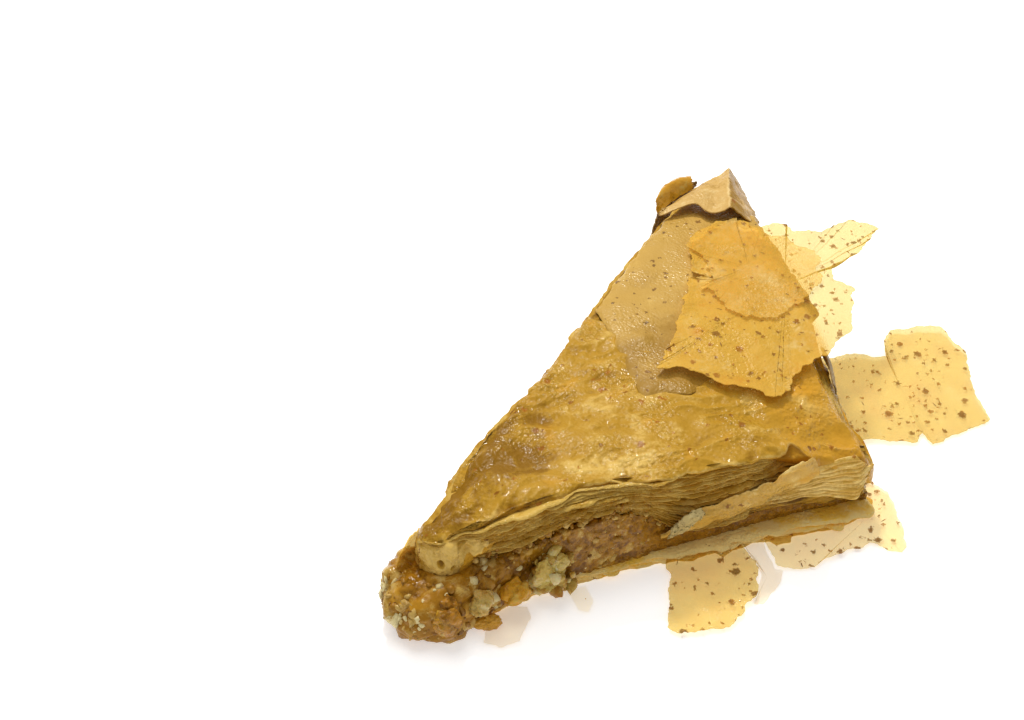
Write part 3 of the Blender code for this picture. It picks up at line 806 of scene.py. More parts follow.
def top_relief(points):
    """The soaked top's relief in millimetres: broad waves, wrinkles, blisters and pressed dimples. Gives
    the whole relief and its fine share, which sets the tone and is darker in the dimples, with painted shade."""
    waves = 0.55 * noise(points, 11.0, 3) + 0.22 * noise(points, 5.0, 4)
    bend = points + 1.6 * np.stack((noise(points, 7.0, 5), noise(points, 7.0, 6)), axis=-1)
    wrinkles = 0.60 * (0.45 - np.abs(noise(bend, (6.5, 3.2), 8)))
    fine = 0.14 * (0.4 - np.abs(noise(bend, (2.4, 1.5), 9)))
    first, _, share = lumps(bend, 2.1, 11)
    blisters = 0.30 * np.clip(1.0 - (first / 0.5) ** 2, 0, 1) * (share > 0.5)
    patch = ease(0.5 + 1.4 * noise(points, 8.0, 12))
    grain = 0.07 * rough_noise(points, 0.9, 13, 2) * patch
    pressed = sum(depth * bell(points, x, y, radius) for x, y, radius, depth in DIMPLES)
    small = wrinkles + fine + blisters * patch + grain
    # The dimples darken the tone: syrup pools and painted shade.
    return waves + small - pressed, small - 0.4 * pressed + 0.5 * (waves - 0.1)


def evenly(line, count):
    """Points evenly spaced along a line in plan."""
    at = np.concatenate(([0.0], np.cumsum(np.linalg.norm(np.diff(line, axis=0), axis=1))))
    s = np.linspace(0.0, at[-1], count)
    return np.column_stack([np.interp(s, at, line[:, k]) for k in (0, 1)])


def build_top_sheet(context):
    """The glossy sheet over the front of the top: lines joining the front edge to the diagonal one and,
    further right, to a line hidden under the dry sheet. Each line starts down the cut side as a curtain,
    bends over the edge and crosses the top: its steps in and down are log(1 + e^q) of the path q."""
    sizes, hues = context.scene.baklava_sizes, context.scene.baklava_colours
    columns, rows = sizes.top_columns, sizes.top_rows
    points, outward = triangle_edge(0.2, 0.3, 0.4)
    tip = np.argmin(points[:, 0])
    corner = np.argmin(np.linalg.norm(points - (25.0, -28.8), axis=1))
    reach = edge_reach(points, outward, TOP_FRONT) + 0.35 * rough_noise(points, 3.0, 21, 4, 0.6)
    edge = points + outward * reach[:, None]
    order = np.arange(tip, -1, -1)
    diagonal = np.vstack((edge[order], edge[:corner:-1]))
    diagonal = diagonal[: int(np.argmax(diagonal[:, 0] > -12.0))]
    hidden = np.array(((-6.0, 6.0), (4.0, 0.0), (16.0, 3.0), (27.8, 6.0)))
    low = evenly(edge[tip:corner + 1], columns)
    high = evenly(np.vstack((diagonal, hidden)), columns)
    high[0] += (0.0, 0.3)
    x = low[:, 0]
    over_nose = ease((-26.0 - x) / 18.0)
    right_end = ease((x - 11.0) / 4.0)
    on_diagonal = 1.0 - ease((np.arange(columns) / columns - 0.58) / 0.05)
    curtain = along(FRONT_CURTAIN, x) * (1.0 + 0.4 * rough_noise(low, 3.2, 22, 3)) + 0.1
    curtain += 2.6 * bell(low, -49.4, -29.5, 1.6) - 1.2 * bell(low, -46.4, -29.5, 1.2)
    curtain += 0.9 * over_nose * rough_noise(low, 1.3, 26, 3)
    far_curtain = (0.4 + 3.0 * ease((-43.0 - x) / 6.0)) * on_diagonal
    bend = 0.4 + 1.7 * over_nose + 0.5 * right_end
    span = np.linalg.norm(high - low, axis=1)
    path = np.linspace(0.0, 1.0, rows)[:, None] ** 1.2 * (curtain + span + far_curtain)
    before = np.logaddexp(0.0, (curtain - path) / bend) * bend
    after = np.logaddexp(0.0, (path - curtain - span) / bend) * bend
    inward = np.clip((path - curtain + before - after) / np.maximum(span, 0.01), 0.0, 1.0)
    plan = low[None] + (high - low)[None] * inward[..., None]
    side = (np.arange(columns) / (columns - 1.0))[None] ** 7
    plan[..., 0] -= side * (along(RIGHT_INSET, plan[..., 1]) - 0.4)
    right = 25.0 + 3.8 * (plan[..., 1] + 29.5) / 75.1 - along(RIGHT_INSET, plan[..., 1]) - plan[..., 0]
    relief, small = top_relief(plan)
    calm = 1.0 - 0.5 * over_nose * ease(before / 2.0)
    height = top_height(plan) + relief * calm - before - after * on_diagonal
    height -= RIM_DROP * np.exp(-((np.maximum(right, 0.0) / RIM_WIDTH) ** 2))
    rim = np.exp(-((path / 0.6) ** 2)) * (1.0 - over_nose) * (1.0 - right_end)
    height += rim * (0.08 + 0.3 * noise(plan, (3.0, 3.0), 23)) + 0.8 * bell(plan, 9.3, -27.5, 1.8)
    face = np.stack((plan[..., 0], height), axis=-1)
    swell = 0.5 * noise(face, 3.0, 25) + 0.35 * (0.3 - np.abs(noise(face, 1.7, 27))) + 0.10 * rough_noise(face, 0.8, 28, 2)
    swell = 1.7 * over_nose * ease(before / 1.5) * swell
    plan[..., 1] -= swell
    holes = bell(face, -50.9, 11.3, 0.5) + 0.6 * bell(face, -49.1, 10.5, 0.35)
    grid = np.concatenate((plan, height[..., None]), axis=-1) + holes[..., None] * (0.3, 0.7, 0.2)
    shape, faces = covering(grid, 0.3, 3.0)
    under = len(shape) - rows * columns
    x = plan[..., 0]
    # The holes in the nose are darkened: painted shade inside them.
    lift = 0.42 + 0.42 * small - 1.6 * holes + 0.12 * noise(plan, 14.0, 31) + 0.35 * rim
    lift += 0.20 * noise(plan, 4.2, 34) + 0.10 * noise(plan, 1.3, 35)
    # A paler band a few millimetres behind the front edge: paler pastry, and a painted highlight where the edge rolls
    # over.
    lift += 0.30 * np.exp(-(((path - curtain - 3.5) / 3.0) ** 2)) * ease((x + 50.0) / 8.0) * ease((-12.0 - x) / 6.0)
    # The curtain over the nose faces down into shade and is lightened: painted light in place of light through the
    # swollen sheet. It is also lighter where it swells out.
    lift += 0.10 * ease((x + 34.0) / 10.0) - 0.36 * ease((-28.0 - x) / 12.0) + 0.8 * ease(before / 1.5) * over_nose + 0.35 * swell
    warm = 0.9 * ease((x - 4.0) / 12.0) * (0.7 + 0.6 * noise(plan, 5.0, 32))
    warm += 0.5 * ease(noise(plan, 4.0, 33) * 2.0 - 0.6) * (1 - over_nose) - 0.4 * ease(before / 1.5) * over_nose
    shares = [np.concatenate((np.clip(v, 0, 1).ravel(), np.full(under, 0.5))) for v in (lift, warm * 0.8)]
    finish = pastry_finish(
        "syrupy top sheet", hues.golden, hues.cream, hues.olive, patch=3.5, contrast=0.8, attribute="lift",
        flecks=((5.0, 0.5, 0.12), (2.6, 0.25, 0.12)), fleck_colour=hues.bran, level=True,
        roughness=(0.16, 0.42), grain=0.6, grain_patch=7.0, relief=0.5, stain=hues.orange, gloss=0.14,
        coat=0.38, coat_roughness=0.05)
    add_piece("syrupy_top_sheet", shape, faces, finish, "top_pastry", ["top_pastry"],
              lift=shares[0], stain=shares[1])


def build_dry_sheet(context):
    """The matte sheet over the back half of the top: a torn sheet carried at the top's own height, with
    shallow waves and one low blister."""
    hues = context.scene.baklava_colours

    def height(plan, out):
        waves = 0.22 * noise(plan, 9.0, 41) + 0.10 * noise(plan, 3.4, 42) + 0.03 * noise(plan, 1.2, 43)
        edge = 0.25 * noise(plan, 4.0, 44) * out**8
        blister = 0.45 * bell(plan, -5.2, 3.0, 1.5) + 0.25 * bell(plan, 1.5, 20.0, 2.5)
        return top_height(plan) + 0.32 + waves + edge + blister - 0.5 * out**24

    shape, faces, out = torn_sheet(DRY_SHEET, (8.0, 8.0), height, 0.22, 480, 75, 0.35, 45)
    # The outermost ring of the sheet is lighter: a painted highlight along the torn edge.
    lift = 0.5 + 0.25 * noise(shape, 10.0, 46) + 0.12 * (out > 0.985) - 0.1 * ease((shape[:, 1] - 20) / 20) - 0.42 * ease((9.0 - shape[:, 1]) / 11.0)
    finish = pastry_finish(
        "dry top sheet", hues.dry, hues.cream, hues.tan, patch=7.0, contrast=0.8, attribute="lift",
        flecks=((4.0, 0.5, 0.11), (2.0, 0.35, 0.13)), fleck_colour=hues.bran_dark, level=True,
        roughness=(0.35, 0.6), coat=0.15, grain=0.45, relief=0.3)
    add_piece("dry_top_sheet", shape, faces, finish, "top_pastry", lift=lift)


def stack_height(share, points):
    """The height of a sheet of the top stack: a share of the way from the folded band to the top."""
    low = along(BAND_ROOF, points[..., 0])
    return low + (top_height(points) - 0.25 - low) * share


def cavity(x, z):
    """The pocket in the front cut over the folded flap, as a bell: the sheets stand back there, and their tone is
    darkened there as painted shade.
    """
    return np.exp(-(((x - 9.0) / 3.0) ** 2) - ((z - 16.4) / 2.4) ** 2)


def under_rim(points, outward, depth):
    """How far sheets at a depth below the top stand back at the right side, to stay under the top
    sheet's rounded rim, whose drop is RIM_DROP times exp of minus the squared distance over RIM_WIDTH."""
    right = np.clip(outward[:, 0], 0, 1)[None] ** 2 * ease((14.0 - points[None, :, 1]) / 6.0)
    back = RIM_WIDTH * np.sqrt(np.clip(np.log(RIM_DROP / np.maximum(depth, 0.2)), 0, None))
    return right * (0.3 + back)


def sheet_rings(points, outward, share, height_at, reach, warp, droop, thickness, low_limit=None, sunk=1.0):
    """Thin sheets as closed rings. Each has six lines: from a hidden line inside, out to its torn edge
    along its underside, and back along its top. Its height is the layer's, warped, and its edge droops."""
    reach = np.asarray(reach)
    edge = points[None] + outward[None] * reach[..., None]
    mid = points[None] + outward[None] * (reach - 1.3)[..., None]
    inner = np.broadcast_to(HUB + (points - HUB) * 0.72, edge.shape)
    level = share[:, None]
    dip = sunk * (0.1 + 0.5 * ease((level - 0.8) / 0.2))
    half = thickness / 2.0
    lines = []
    for plan, side, extra, sink in (
        (inner, -half, 0.0, 1.6 * sunk), (mid, -half, 0.25, dip), (edge, -half * 0.45, 1.0, 0.0),
        (edge, half * 0.45, 1.0, 0.0), (mid, half, 0.25, dip), (inner, half, 0.0, 1.6 * sunk),
    ):
        z = height_at(level, plan) + warp + side + extra * droop - sink
        if low_limit is not None:
            z = np.maximum(z, low_limit + (side + half) * 1.0)
        lines.append(np.concatenate((plan, z[..., None]), axis=-1))
    rings = np.stack(lines, axis=1)
    count, section, around = rings.shape[:3]
    faces = grid_quads(section, around, wrap_rows=True, wrap_columns=True)
    step = (np.arange(count) * section * around)[:, None, None]
    return rings, (faces[None] + step).reshape(-1, 4)


def build_stack(context):
    """The top stack's cut sides: torn sheet edges one over another round a recessed, finely layered
    core."""
    sizes, hues = context.scene.baklava_sizes, context.scene.baklava_colours
    count = sizes.stack_sheets
    points, outward = triangle_edge(0.22, 0.32, 0.42)
    around = len(points)
    share = (np.arange(count) + 0.4) / count
    level = np.repeat(np.arange(count)[:, None], around, axis=1).astype(float)
    place = np.concatenate((np.repeat(points[None], count, 0), level[..., None]), axis=-1)
    x = np.repeat(points[None, :, 0], count, axis=0)
    low_reach = edge_reach(points, outward, STACK_FRONT, inset=0.5)
    high_reach = edge_reach(points, outward, TOP_FRONT, inset=0.95)
    step = ease((share - 0.55) / 0.45)[:, None]
    reach = low_reach[None] + (high_reach - low_reach)[None] * step
    clump = noise(place, (8.0, 8.0, 3.2), 51)
    own = noise(place, (6.0, 6.0, 0.7), 52)
    fray = rough_noise(place, (1.6, 1.6, 0.5), 53, 3, 0.6)
    tear = noise(place, (6.0, 6.0, 0.8), 54)
    firm = 1.0 - 0.6 * np.clip(outward[:, 0], 0, 1)[None]
    reach = reach + firm * (0.36 * clump + 0.36 * own + 0.17 * fray)
    reach += firm * (0.8 * ease((tear - 0.4) / 0.3) - 0.9 * ease((-tear - 0.4) / 0.3))
    on_front = np.clip(-outward[:, 1], 0, 1)[None] ** 2
    stepped = on_front * ease((-10.0 - x) / 5.0) * ease((x + 46.0) / 8.0)
    reach += step * stepped * (0.8 + 0.6 * noise(place, (4.0, 4.0, 0.6), 55))
    height = stack_height(share[:, None], np.repeat(points[None], count, 0))
    reach -= 3.0 * on_front * cavity(x, height)
    right_end = on_front * ease((x - 11.0) / 3.0)
    reach -= 1.7 * right_end + 1.4 * ease((-44.0 - x) / 5.0)
    reach -= under_rim(points, outward, top_height(points) - height)
    spacing = np.clip((top_height(points) - along(BAND_ROOF, points[:, 0])) / count, 0.15, 0.9)[None]
    warp = spacing * (0.7 * noise(place, (11.0, 11.0, 3.0), 56) + 0.3 * noise(place, (3.5, 3.5, 0.9), 57))
    warp *= np.sin(np.pi * np.clip(share, 0.04, 0.96))[:, None] ** 0.5
    droop = spacing * (0.6 * noise(place, (3.5, 3.5, 0.8), 58) - 0.35)
    thickness = np.minimum(0.30, 0.5 * spacing)
    rings, faces = sheet_rings(points, outward, share, stack_height, reach, warp, droop, thickness)
    tone = 0.50 + 0.32 * noise(place, (5.0, 5.0, 1.3), 59) + 0.22 * noise(place, (1.4, 1.4, 0.6), 60)
    # The pocket over the flap is darkened: painted shade.
    tone = tone - 0.5 * on_front * cavity(x, height) + 0.32 * step * stepped
    # Painted shade and light across each sheet: darker on the hidden inner lines and on the underside, lighter at the
    # top of the torn edge.
    section_shade_and_light = np.array((-0.30, -0.10, 0.16, 0.20, 0.04, -0.2))
    tone = tone[:, None, :] + section_shade_and_light[None, :, None]
    finish = pastry_finish(
        "cut sheet edges", hues.edge, hues.edge_pale, hues.wet_gap_and_shade, patch=3.0, contrast=1.1, attribute="tone",
        flecks=((1.8, 0.12, 0.2),), fleck_colour=hues.bran, roughness=(0.15, 0.4),
        grain=0.5, relief=0.5, gloss=0.15, coat=0.4, coat_roughness=0.07)
    add_piece("stacked_sheet_edges", rings, [faces], finish, "top_pastry", tone=tone)

    steps = 58
    z_share = np.linspace(0.0, 1.0, steps)[:, None]
    plan = np.repeat(points[None], steps, 0)
    z = stack_height(z_share, plan)
    wall_place = np.concatenate((plan, z[..., None]), axis=-1)
    layer_place = np.concatenate((plan, (z_share * count * 2.2 + 0 * z)[..., None]), axis=-1)
    relief = 0.26 * noise(layer_place, (8.0, 8.0, 0.8), 61) + 0.2 * rough_noise(wall_place, (4.0, 4.0, 0.5), 62, 3)
    wall = low_reach[None] + (high_reach - low_reach)[None] * ease((z_share - 0.55) / 0.45) - 0.8 + relief
    wall = wall - 3.0 * on_front * cavity(plan[..., 0], z) - 1.7 * right_end[:1]
    wall = wall - 1.4 * ease((-44.0 - plan[..., 0]) / 5.0) - under_rim(points, outward, top_height(plan) - z)
    sides = plan + outward[None] * wall[..., None]
    rows = [np.concatenate((sides, z[..., None]), axis=-1)]
    inner_top = []
    for fraction in (0.74, 0.6, 0.4, 0.2):
        spot = HUB + (points - HUB) * fraction
        inner_top.append(np.concatenate((spot, (top_height(spot) - 2.2)[:, None]), axis=-1)[None])
    spot = HUB + (points - HUB) * 0.74
    bottom = np.concatenate((spot, along(BAND_ROOF, spot[:, 0])[:, None]), axis=-1)[None]
    body = np.concatenate([bottom] + rows + inner_top)
    shape, faces = closed_rings(body)
    # The core's tone follows its relief: darker where the wall is set back, as painted shade in the recesses, and
    # darker in the pocket over the flap, also painted shade.
    tone = 0.42 + 0.9 * relief - 0.5 * on_front * cavity(plan[..., 0], z)
    tone = np.concatenate((tone[:1] * 0 + 0.2, tone, np.full((4, around), 0.3)))
    core = pastry_finish(
        "layered core", hues.edge, hues.edge_pale, hues.wet_gap_and_shade, patch=2.6, contrast=0.9, attribute="tone",
        roughness=(0.15, 0.4), gloss=0.15, grain=0.5, relief=0.5, lines=0.55, coat=0.4, coat_roughness=0.1,
        wet_gap_shade_colour=hues.wet_gap_and_shade)
    add_piece("layered_core", shape, faces, core, "top_pastry", tone=with_ends(tone))


def build_band(context):
    """The folded band: its cut sheets all round, and at the front a smooth pale lip whose right end
    stands up as a flap, with a fringe of fine sheets beside it."""
    sizes, hues = context.scene.baklava_sizes, context.scene.baklava_colours
    points, outward = triangle_edge(0.28, 0.36, 0.5)
    count = sizes.band_sheets
    share = (np.arange(count) + 0.5) / count

    def band_height(level, plan):
        low = along(FILLING_ROOF, plan[..., 0])
        return low + (along(BAND_ROOF, plan[..., 0]) - low) * level

    level = np.repeat(np.arange(count)[:, None], len(points), axis=1).astype(float)
    place = np.concatenate((np.repeat(points[None], count, 0), level[..., None] + 40.0), axis=-1)
    reach = edge_reach(points, outward, BAND_FRONT, inset=0.95)[None] + 0.35 * noise(place, (6.0, 6.0, 1.4), 71)
    reach = reach + 0.2 * noise(place, (3.0, 3.0, 0.7), 72) + 0.12 * rough_noise(place, (1.4, 1.4, 0.5), 73, 3)
    on_front = np.clip(-outward[:, 1], 0, 1)[None] ** 2
    reach = reach - 1.8 * on_front * ease((points[None, :, 0] - 1.0) / 3.0) - 0.5 * ease((-12.0 - points[:, 0]) / 4.0) - 0.9 * ease((-44.0 - points[:, 0]) / 5.0)
    room = (along(BAND_ROOF, points[:, 0]) - along(FILLING_ROOF, points[:, 0]))[None]
    spacing = np.clip(room / count, 0.12, 0.8)
    warp = spacing * 0.7 * noise(place, (6.0, 6.0, 2.0), 74)
    droop = spacing * (0.5 * noise(place, (3.0, 3.0, 0.8), 75) - 0.3)
    thickness = np.minimum(0.28, 0.5 * spacing)
    rings, faces = sheet_rings(points, outward, share, band_height, reach, warp, droop, thickness)
    tone = 0.5 + 0.25 * noise(place, (4.0, 4.0, 1.2), 76)
    # Painted shade and light across each sheet: darker on the hidden inner lines and on the underside, lighter at the
    # top of the torn edge.
    tone = tone[:, None, :] + np.array((-0.3, -0.1, 0.16, 0.2, 0.04, -0.2))[None, :, None]
    edges = bpy.data.materials["cut sheet edges"]
    add_piece("band_sheet_edges", rings, [faces], edges, "folded_pastry", ["folded_pastry"], tone=tone)

    z_share = np.linspace(0.0, 1.0, 30)[:, None]
    plan = np.repeat(points[None], 30, 0)
    z = band_height(z_share, plan)
    layer_place = np.concatenate((plan, z[..., None] * 2.0), axis=-1)
    relief = 0.3 * rough_noise(layer_place, (5.0, 5.0, 1.0), 77, 3)
    sides = plan + outward[None] * (edge_reach(points, outward, BAND_FRONT, inset=0.95)[None] - 1.1 + relief)[..., None]
    wall = np.concatenate((sides, z[..., None]), axis=-1)
    spot = HUB + (points - HUB) * 0.78
    low = np.concatenate((spot, along(FILLING_ROOF, spot[:, 0])[:, None]), axis=-1)[None]
    high = np.concatenate((spot, along(BAND_ROOF, spot[:, 0])[:, None]), axis=-1)[None]
    shape, faces = closed_rings(np.concatenate((low, wall, high)))
    # The tone follows the wall's relief: darker where it is set back, as painted shade in the recesses.
    tone = 0.4 + 0.9 * relief
    tone = np.concatenate((tone[:1] * 0 + 0.2, tone, tone[:1] * 0 + 0.2))
    add_piece("band_core", shape, faces, bpy.data.materials["layered core"], "folded_pastry",
              tone=with_ends(tone))

    build_lip(hues)
    build_fringe(hues)


def build_lip(hues):
    """The pale lip of the folded band: t runs across it from its lower edge to its upper one, and it
    bulges as a half sine. Its right end leans out as a flap, and rises as far as it leans out."""
    lower = ((-13.8, 5.6), (-7.4, 6.2), (-0.4, 7.0), (3.0, 7.8), (6.0, 10.2), (9.5, 11.3), (13.2, 12.4))
    upper = ((-13.8, 6.6), (-9.5, 9.4), (-5.8, 10.8), (1.6, 12.2), (4.4, 14.4), (6.4, 17.0), (9.2, 18.2),
             (11.6, 17.6), (13.4, 14.6))
    columns, rows = 260, 56
    s = np.linspace(-13.8, 13.2, columns)[None]
    t = np.linspace(0.0, 1.0, rows)[:, None]
    line = np.column_stack((s[0], np.zeros(columns)))
    low = along(lower, s) + 0.35 * rough_noise(line, 2.2, 81, 4, 0.6)[None]
    high = along(upper, s) + 0.32 * rough_noise(line, 2.4, 82, 4, 0.65)[None]
    z = low + (high - low) * t
    flap = ease((s - 2.5) / 3.0)
    place = np.stack(np.broadcast_arrays(s, z * 1.0, 0 * z + 0.5), axis=-1)
    bulge = (0.5 - 0.2 * flap) * np.sin(np.pi * np.clip(t, 0, 1)) ** 0.7
    lean = flap * (0.5 + 1.3 * t - 0.9 * ease((s - 9.5) / 3.0) * t)
    crease = 0.5 * flap * (0.35 - np.abs(noise(place, (2.6, 3.4, 1.0), 86)))
    folds = 0.34 * noise(place, (5.5, 2.0, 1.0), 83) + 0.14 * noise(place, (1.6, 0.9, 1.0), 84) + crease
    y = -29.5 - bulge - lean - folds
    grid = np.stack(np.broadcast_arrays(s + 0.3 * folds + 0 * z, y, z), axis=-1)
    shape, faces = closed_shell(grid, 0.22 + 0.2 * np.sin(np.pi * t) + 0 * s)
    edge = np.minimum(t, 1.0 - t)
    lift = 0.50 + 0.7 * folds + 0.3 * np.exp(-((edge / 0.04) ** 2)) + 0.14 * noise(place, 4.0, 85)
    lift = np.tile(lift.ravel(), 2)
    warm = np.tile((0.5 * ease(noise(place, 2.8, 87) * 2.5 - 0.4) * flap).ravel(), 2)
    lip = pastry_finish(
        "pale folded lip", hues.band, hues.band_pale, hues.band_dark, patch=3.0, contrast=1.0, attribute="lift",
        flecks=((2.6, 0.2, 0.18),), fleck_colour=hues.bran, roughness=(0.15, 0.42), grain=0.5, relief=0.5,
        stain=hues.orange, gloss=0.25, coat=0.5, coat_roughness=0.08)
    add_piece("folded_lip", shape, faces, lip, "folded_pastry", lift=lift, stain=warm)


def build_fringe(hues):
    """The fringe at the right end: fine sheets one over another, each a ribbon that turns up at its
    right end, where they fan out."""
    strands, columns, rows = 11, 150, 8
    k = np.arange(strands)[:, None, None]
    u = np.linspace(0.0, 1.0, columns)[None, None]
    t = np.linspace(0.0, 1.0, rows)[None, :, None]
    base = ((1.0, 7.4), (6.7, 8.2), (10.2, 8.5), (14.0, 7.8), (18.0, 6.0), (20.6, 5.4), (22.3, 7.0), (24.4, 10.0))
    crest = ((1.0, 9.4), (6.0, 11.0), (10.0, 12.8), (14.0, 13.9), (17.0, 14.3), (20.0, 14.4), (24.4, 14.0))
    share = (k + t * 1.3) / strands
    sx = 1.0 + (19.6 + 3.2 * (1.0 - np.abs(2.0 * share - 0.9))) * u
    place = np.stack(np.broadcast_arrays(sx, 0 * t + 2.0 * k, 0 * sx + 3.3), axis=-1)
    z_low, z_high = along(base, sx), along(crest, sx)
    z = z_low + (z_high - z_low) * np.clip(share, 0, 1.05) + 0.20 * noise(place, (4.0, 1.0, 1.0), 91)
    y = -30.0 - 0.28 * np.sin(np.pi * t) - 0.4 * (1 - t) - 0.45 * noise(place, (4.2, 1.0, 1.0), 92)
    y = y + 0.06 * k - 0.8 * ease((sx - 17.0) / 3.5) * (1 - share) + 0.9 * ease((sx - 21.0) / 2.5)
    y = y + 1.1 * ease((9.0 - sx) / 7.0)
    shapes, made = [], []
    for j in range(strands):
        grid = np.stack(np.broadcast_arrays(sx[j], y[j], z[j]), axis=-1)
        shape, faces = closed_shell(grid, 0.16)
        made.append(np.vstack(faces) + len(shape) * j)
        shapes.append(shape)
    shape = np.vstack(shapes)
    tone = 0.70 + 0.25 * noise(shape, (5.0, 5.0, 0.6), 93) + 0.2 * noise(shape, (3.0, 3.0, 0.4), 94)
    fringe = pastry_finish(
        "fringe sheets", hues.band, hues.band_pale, hues.band_dark, patch=3.0, contrast=1.0, attribute="tone",
        flecks=((1.8, 0.12, 0.2),), fleck_colour=hues.bran, roughness=(0.15, 0.4), grain=0.5, relief=0.5,
        gloss=0.22)
    add_piece("folded_fringe", shape, [np.vstack(made)], fringe, "folded_pastry", tone=tone)


def filling_surface(points, outward):
    """The filling's outer surface before its lumps: up the cut wall, which bulges, over a round shoulder
    and in over the roof."""
    wall_steps, roof_steps = 44, 36
    x = points[:, 0]
    floor = along(BOTTOM_ROOF, x) * (1.0 - 0.8 * spill(x))
    slump = 0.14 * along(FILLING_ROOF, x) * spill(x)
    reach = edge_reach(points, outward, FILLING_FRONT, spilled=True, inset=0.9) - 1.9 * spill(x)
    t = np.linspace(0.0, 1.0, wall_steps)[:, None]
    z = floor + (along(FILLING_ROOF, x) - slump - floor) * t
    bulge = np.sin(np.pi * t) ** 0.6 * (0.3 + 1.0 * spill(x)) - 1.2 * spill(x) * t**3
    wall = points[None] + outward[None] * (reach[None] + bulge)[..., None]
    wall = np.concatenate((wall, z[..., None]), axis=-1)
    r = np.linspace(0.0, 1.0, roof_steps + 1)[1:, None]
    inner = HUB + (points - HUB) * 0.83
    plan = wall[-1, :, :2][None] * (1.0 - r[..., None]) + inner[None] * r[..., None]
    goal = along(FILLING_ROOF, inner[:, 0])
    z = wall[-1, :, 2] + (goal - wall[-1, :, 2]) * np.sin(r * np.pi / 2.0)
    roof = np.concatenate((plan, z[..., None]), axis=-1)
    return np.concatenate((wall, roof))


def build_filling(context):
    """The chopped-nut filling: nuts stuck together by syrup, as lumps of three sizes with soft furrows
    between them, high at the tip, and loose crumbs pressed into it."""
    sizes, hues = context.scene.baklava_sizes, context.scene.baklava_colours
    points, outward = triangle_edge(0.22, 0.34, 0.44)
    grid = filling_surface(points, outward)
    normals = grid_normals(grid, wrap_columns=True)
    x = grid[..., 0]
    nutty = np.clip(ease((-13.0 - x) / 7.0), 0, 1)
    bulky = spill(x)
    bent = grid + 0.9 * np.stack([noise(grid, 2.0, 98 + k) for k in range(3)], axis=-1)
    sized = [lumps(bent, size, 101 + k) for k, size in enumerate((4.6, 2.1, 0.95))]
    heights = (2.2 * bulky, 0.60, 0.10 + 0.22 * (1.0 - bulky))
    rise = sum(h * (0.72 - first) * (0.25 + 0.75 * nutty) for h, (first, _, _) in zip(heights, sized))
    rise = rise + (0.20 - 0.1 * bulky) * rough_noise(grid, 0.9, 104, 3) + 1.0 * bulky * noise(grid, 6.0, 105) - 0.15
    grid = grid + normals * rise[..., None]
    grid[..., 2] = np.maximum(grid[..., 2], 0.12)
    spot = HUB + (points - HUB) * 0.85
    low = np.concatenate((spot, along(BOTTOM_ROOF, spot[:, 0])[:, None]), axis=-1)[None]
    shape, faces = closed_rings(np.concatenate((low, grid)))
    shares = [own for _, _, own in sized]
    furrow = np.clip((sized[1][1] - sized[1][0]) / 0.35, 0, 1)
    mix = 0.45 * shares[1] + (0.40 - 0.25 * bulky) * shares[2] + 0.45 * shares[0] * bulky
    tone = 0.30 + nutty * (0.70 * (mix - 0.45) + 0.16 * furrow - 0.05) + 0.25 * rise + 0.10 * noise(grid, 8.0, 106)
    tone = tone + 0.28 * nutty * ease((shares[1] - 0.72) / 0.05) * furrow
    amber = nutty * ease(1.6 * noise(grid, 4.5, 107) - 0.15 + 0.5 * (shares[1] - 0.5)) * (0.35 + 0.5 * bulky)
    finish = pastry_finish(
        "chopped nut filling", hues.nut, hues.nut_pale, hues.nut_dark, patch=1.8, contrast=1.2, attribute="tone",
        roughness=(0.12, 0.36), grain=0.7, relief=0.4, stain=hues.amber, gloss=0.15, coat=0.4, coat_roughness=0.06)
    inside = tone[:1] * 0
    add_piece("nut_filling_mass", shape, faces, finish, "nut_filling", ["nut_filling"],
              tone=with_ends(np.concatenate((inside + 0.2, tone))),
              stain=with_ends(np.concatenate((inside, np.clip(amber, 0, 1)))))

    rng = np.random.default_rng(7)
    weight = nutty * (0.30 + 1.0 * bulky) * (np.clip(-normals[..., 1] - normals[..., 0], 0, 1) + 0.2)
    weight = weight * (grid[..., 2] > 1.2)
    chance = weight.ravel() / weight.sum()
    pale_patch = weight * bulky * ease(2.5 * noise(grid, 5.0, 108) - 0.2)
    pale_chance = pale_patch.ravel() / pale_patch.sum()
    kinds = (
        ("walnut_crumbs", sizes.crumbs, 0.35, 1.1, (hues.nut, hues.nut_pale, hues.nut_dark)),
        ("pale_crumbs", sizes.crumbs // 2, 0.3, 1.0, (hues.nut_pale, hues.blanched, hues.nut)),
        ("cream_crumbs", sizes.crumbs * 2 // 3, 0.35, 1.1, (hues.blanched, hues.blanched, hues.nut_pale)),
    )
    for i, (name, count, least, most, (body, light, dark)) in enumerate(kinds):
        pick = rng.choice(chance.size, size=count, p=pale_chance if name == "cream_crumbs" else chance)
        size = least + (most - least) * rng.power(0.45, count)
        sink = (rng.uniform(-0.95, -0.35, count) * size)[:, None]
        spots = grid.reshape(-1, 3)[pick] + normals.reshape(-1, 3)[pick] * sink
        spots[:, 2] = np.maximum(spots[:, 2], size * 0.8)
        crumb = pastry_finish(
            name.replace("_", " "), body, light, dark, patch=1.6, contrast=0.9, attribute="tone",
            roughness=(0.15, 0.4), grain=0.4, relief=0.4, gloss=0.4)
        scatter(name, spots, size, 0.35, 9, crumb, "nut_filling", 200 + 10 * i)
    count = sizes.crumbs // 2
    along_x = rng.uniform(-46.0, -10.0, count)
    above = rng.uniform(-1.4, 2.6, count)
    spots = np.column_stack((along_x, rng.uniform(-28.9, -28.3, count), along(FILLING_ROOF, along_x) + above))
    scatter("bits_on_sheets", spots, 0.25 + 0.5 * rng.power(0.6, count), 0.35, 9,
            bpy.data.materials["walnut crumbs"], "nut_filling", 240)


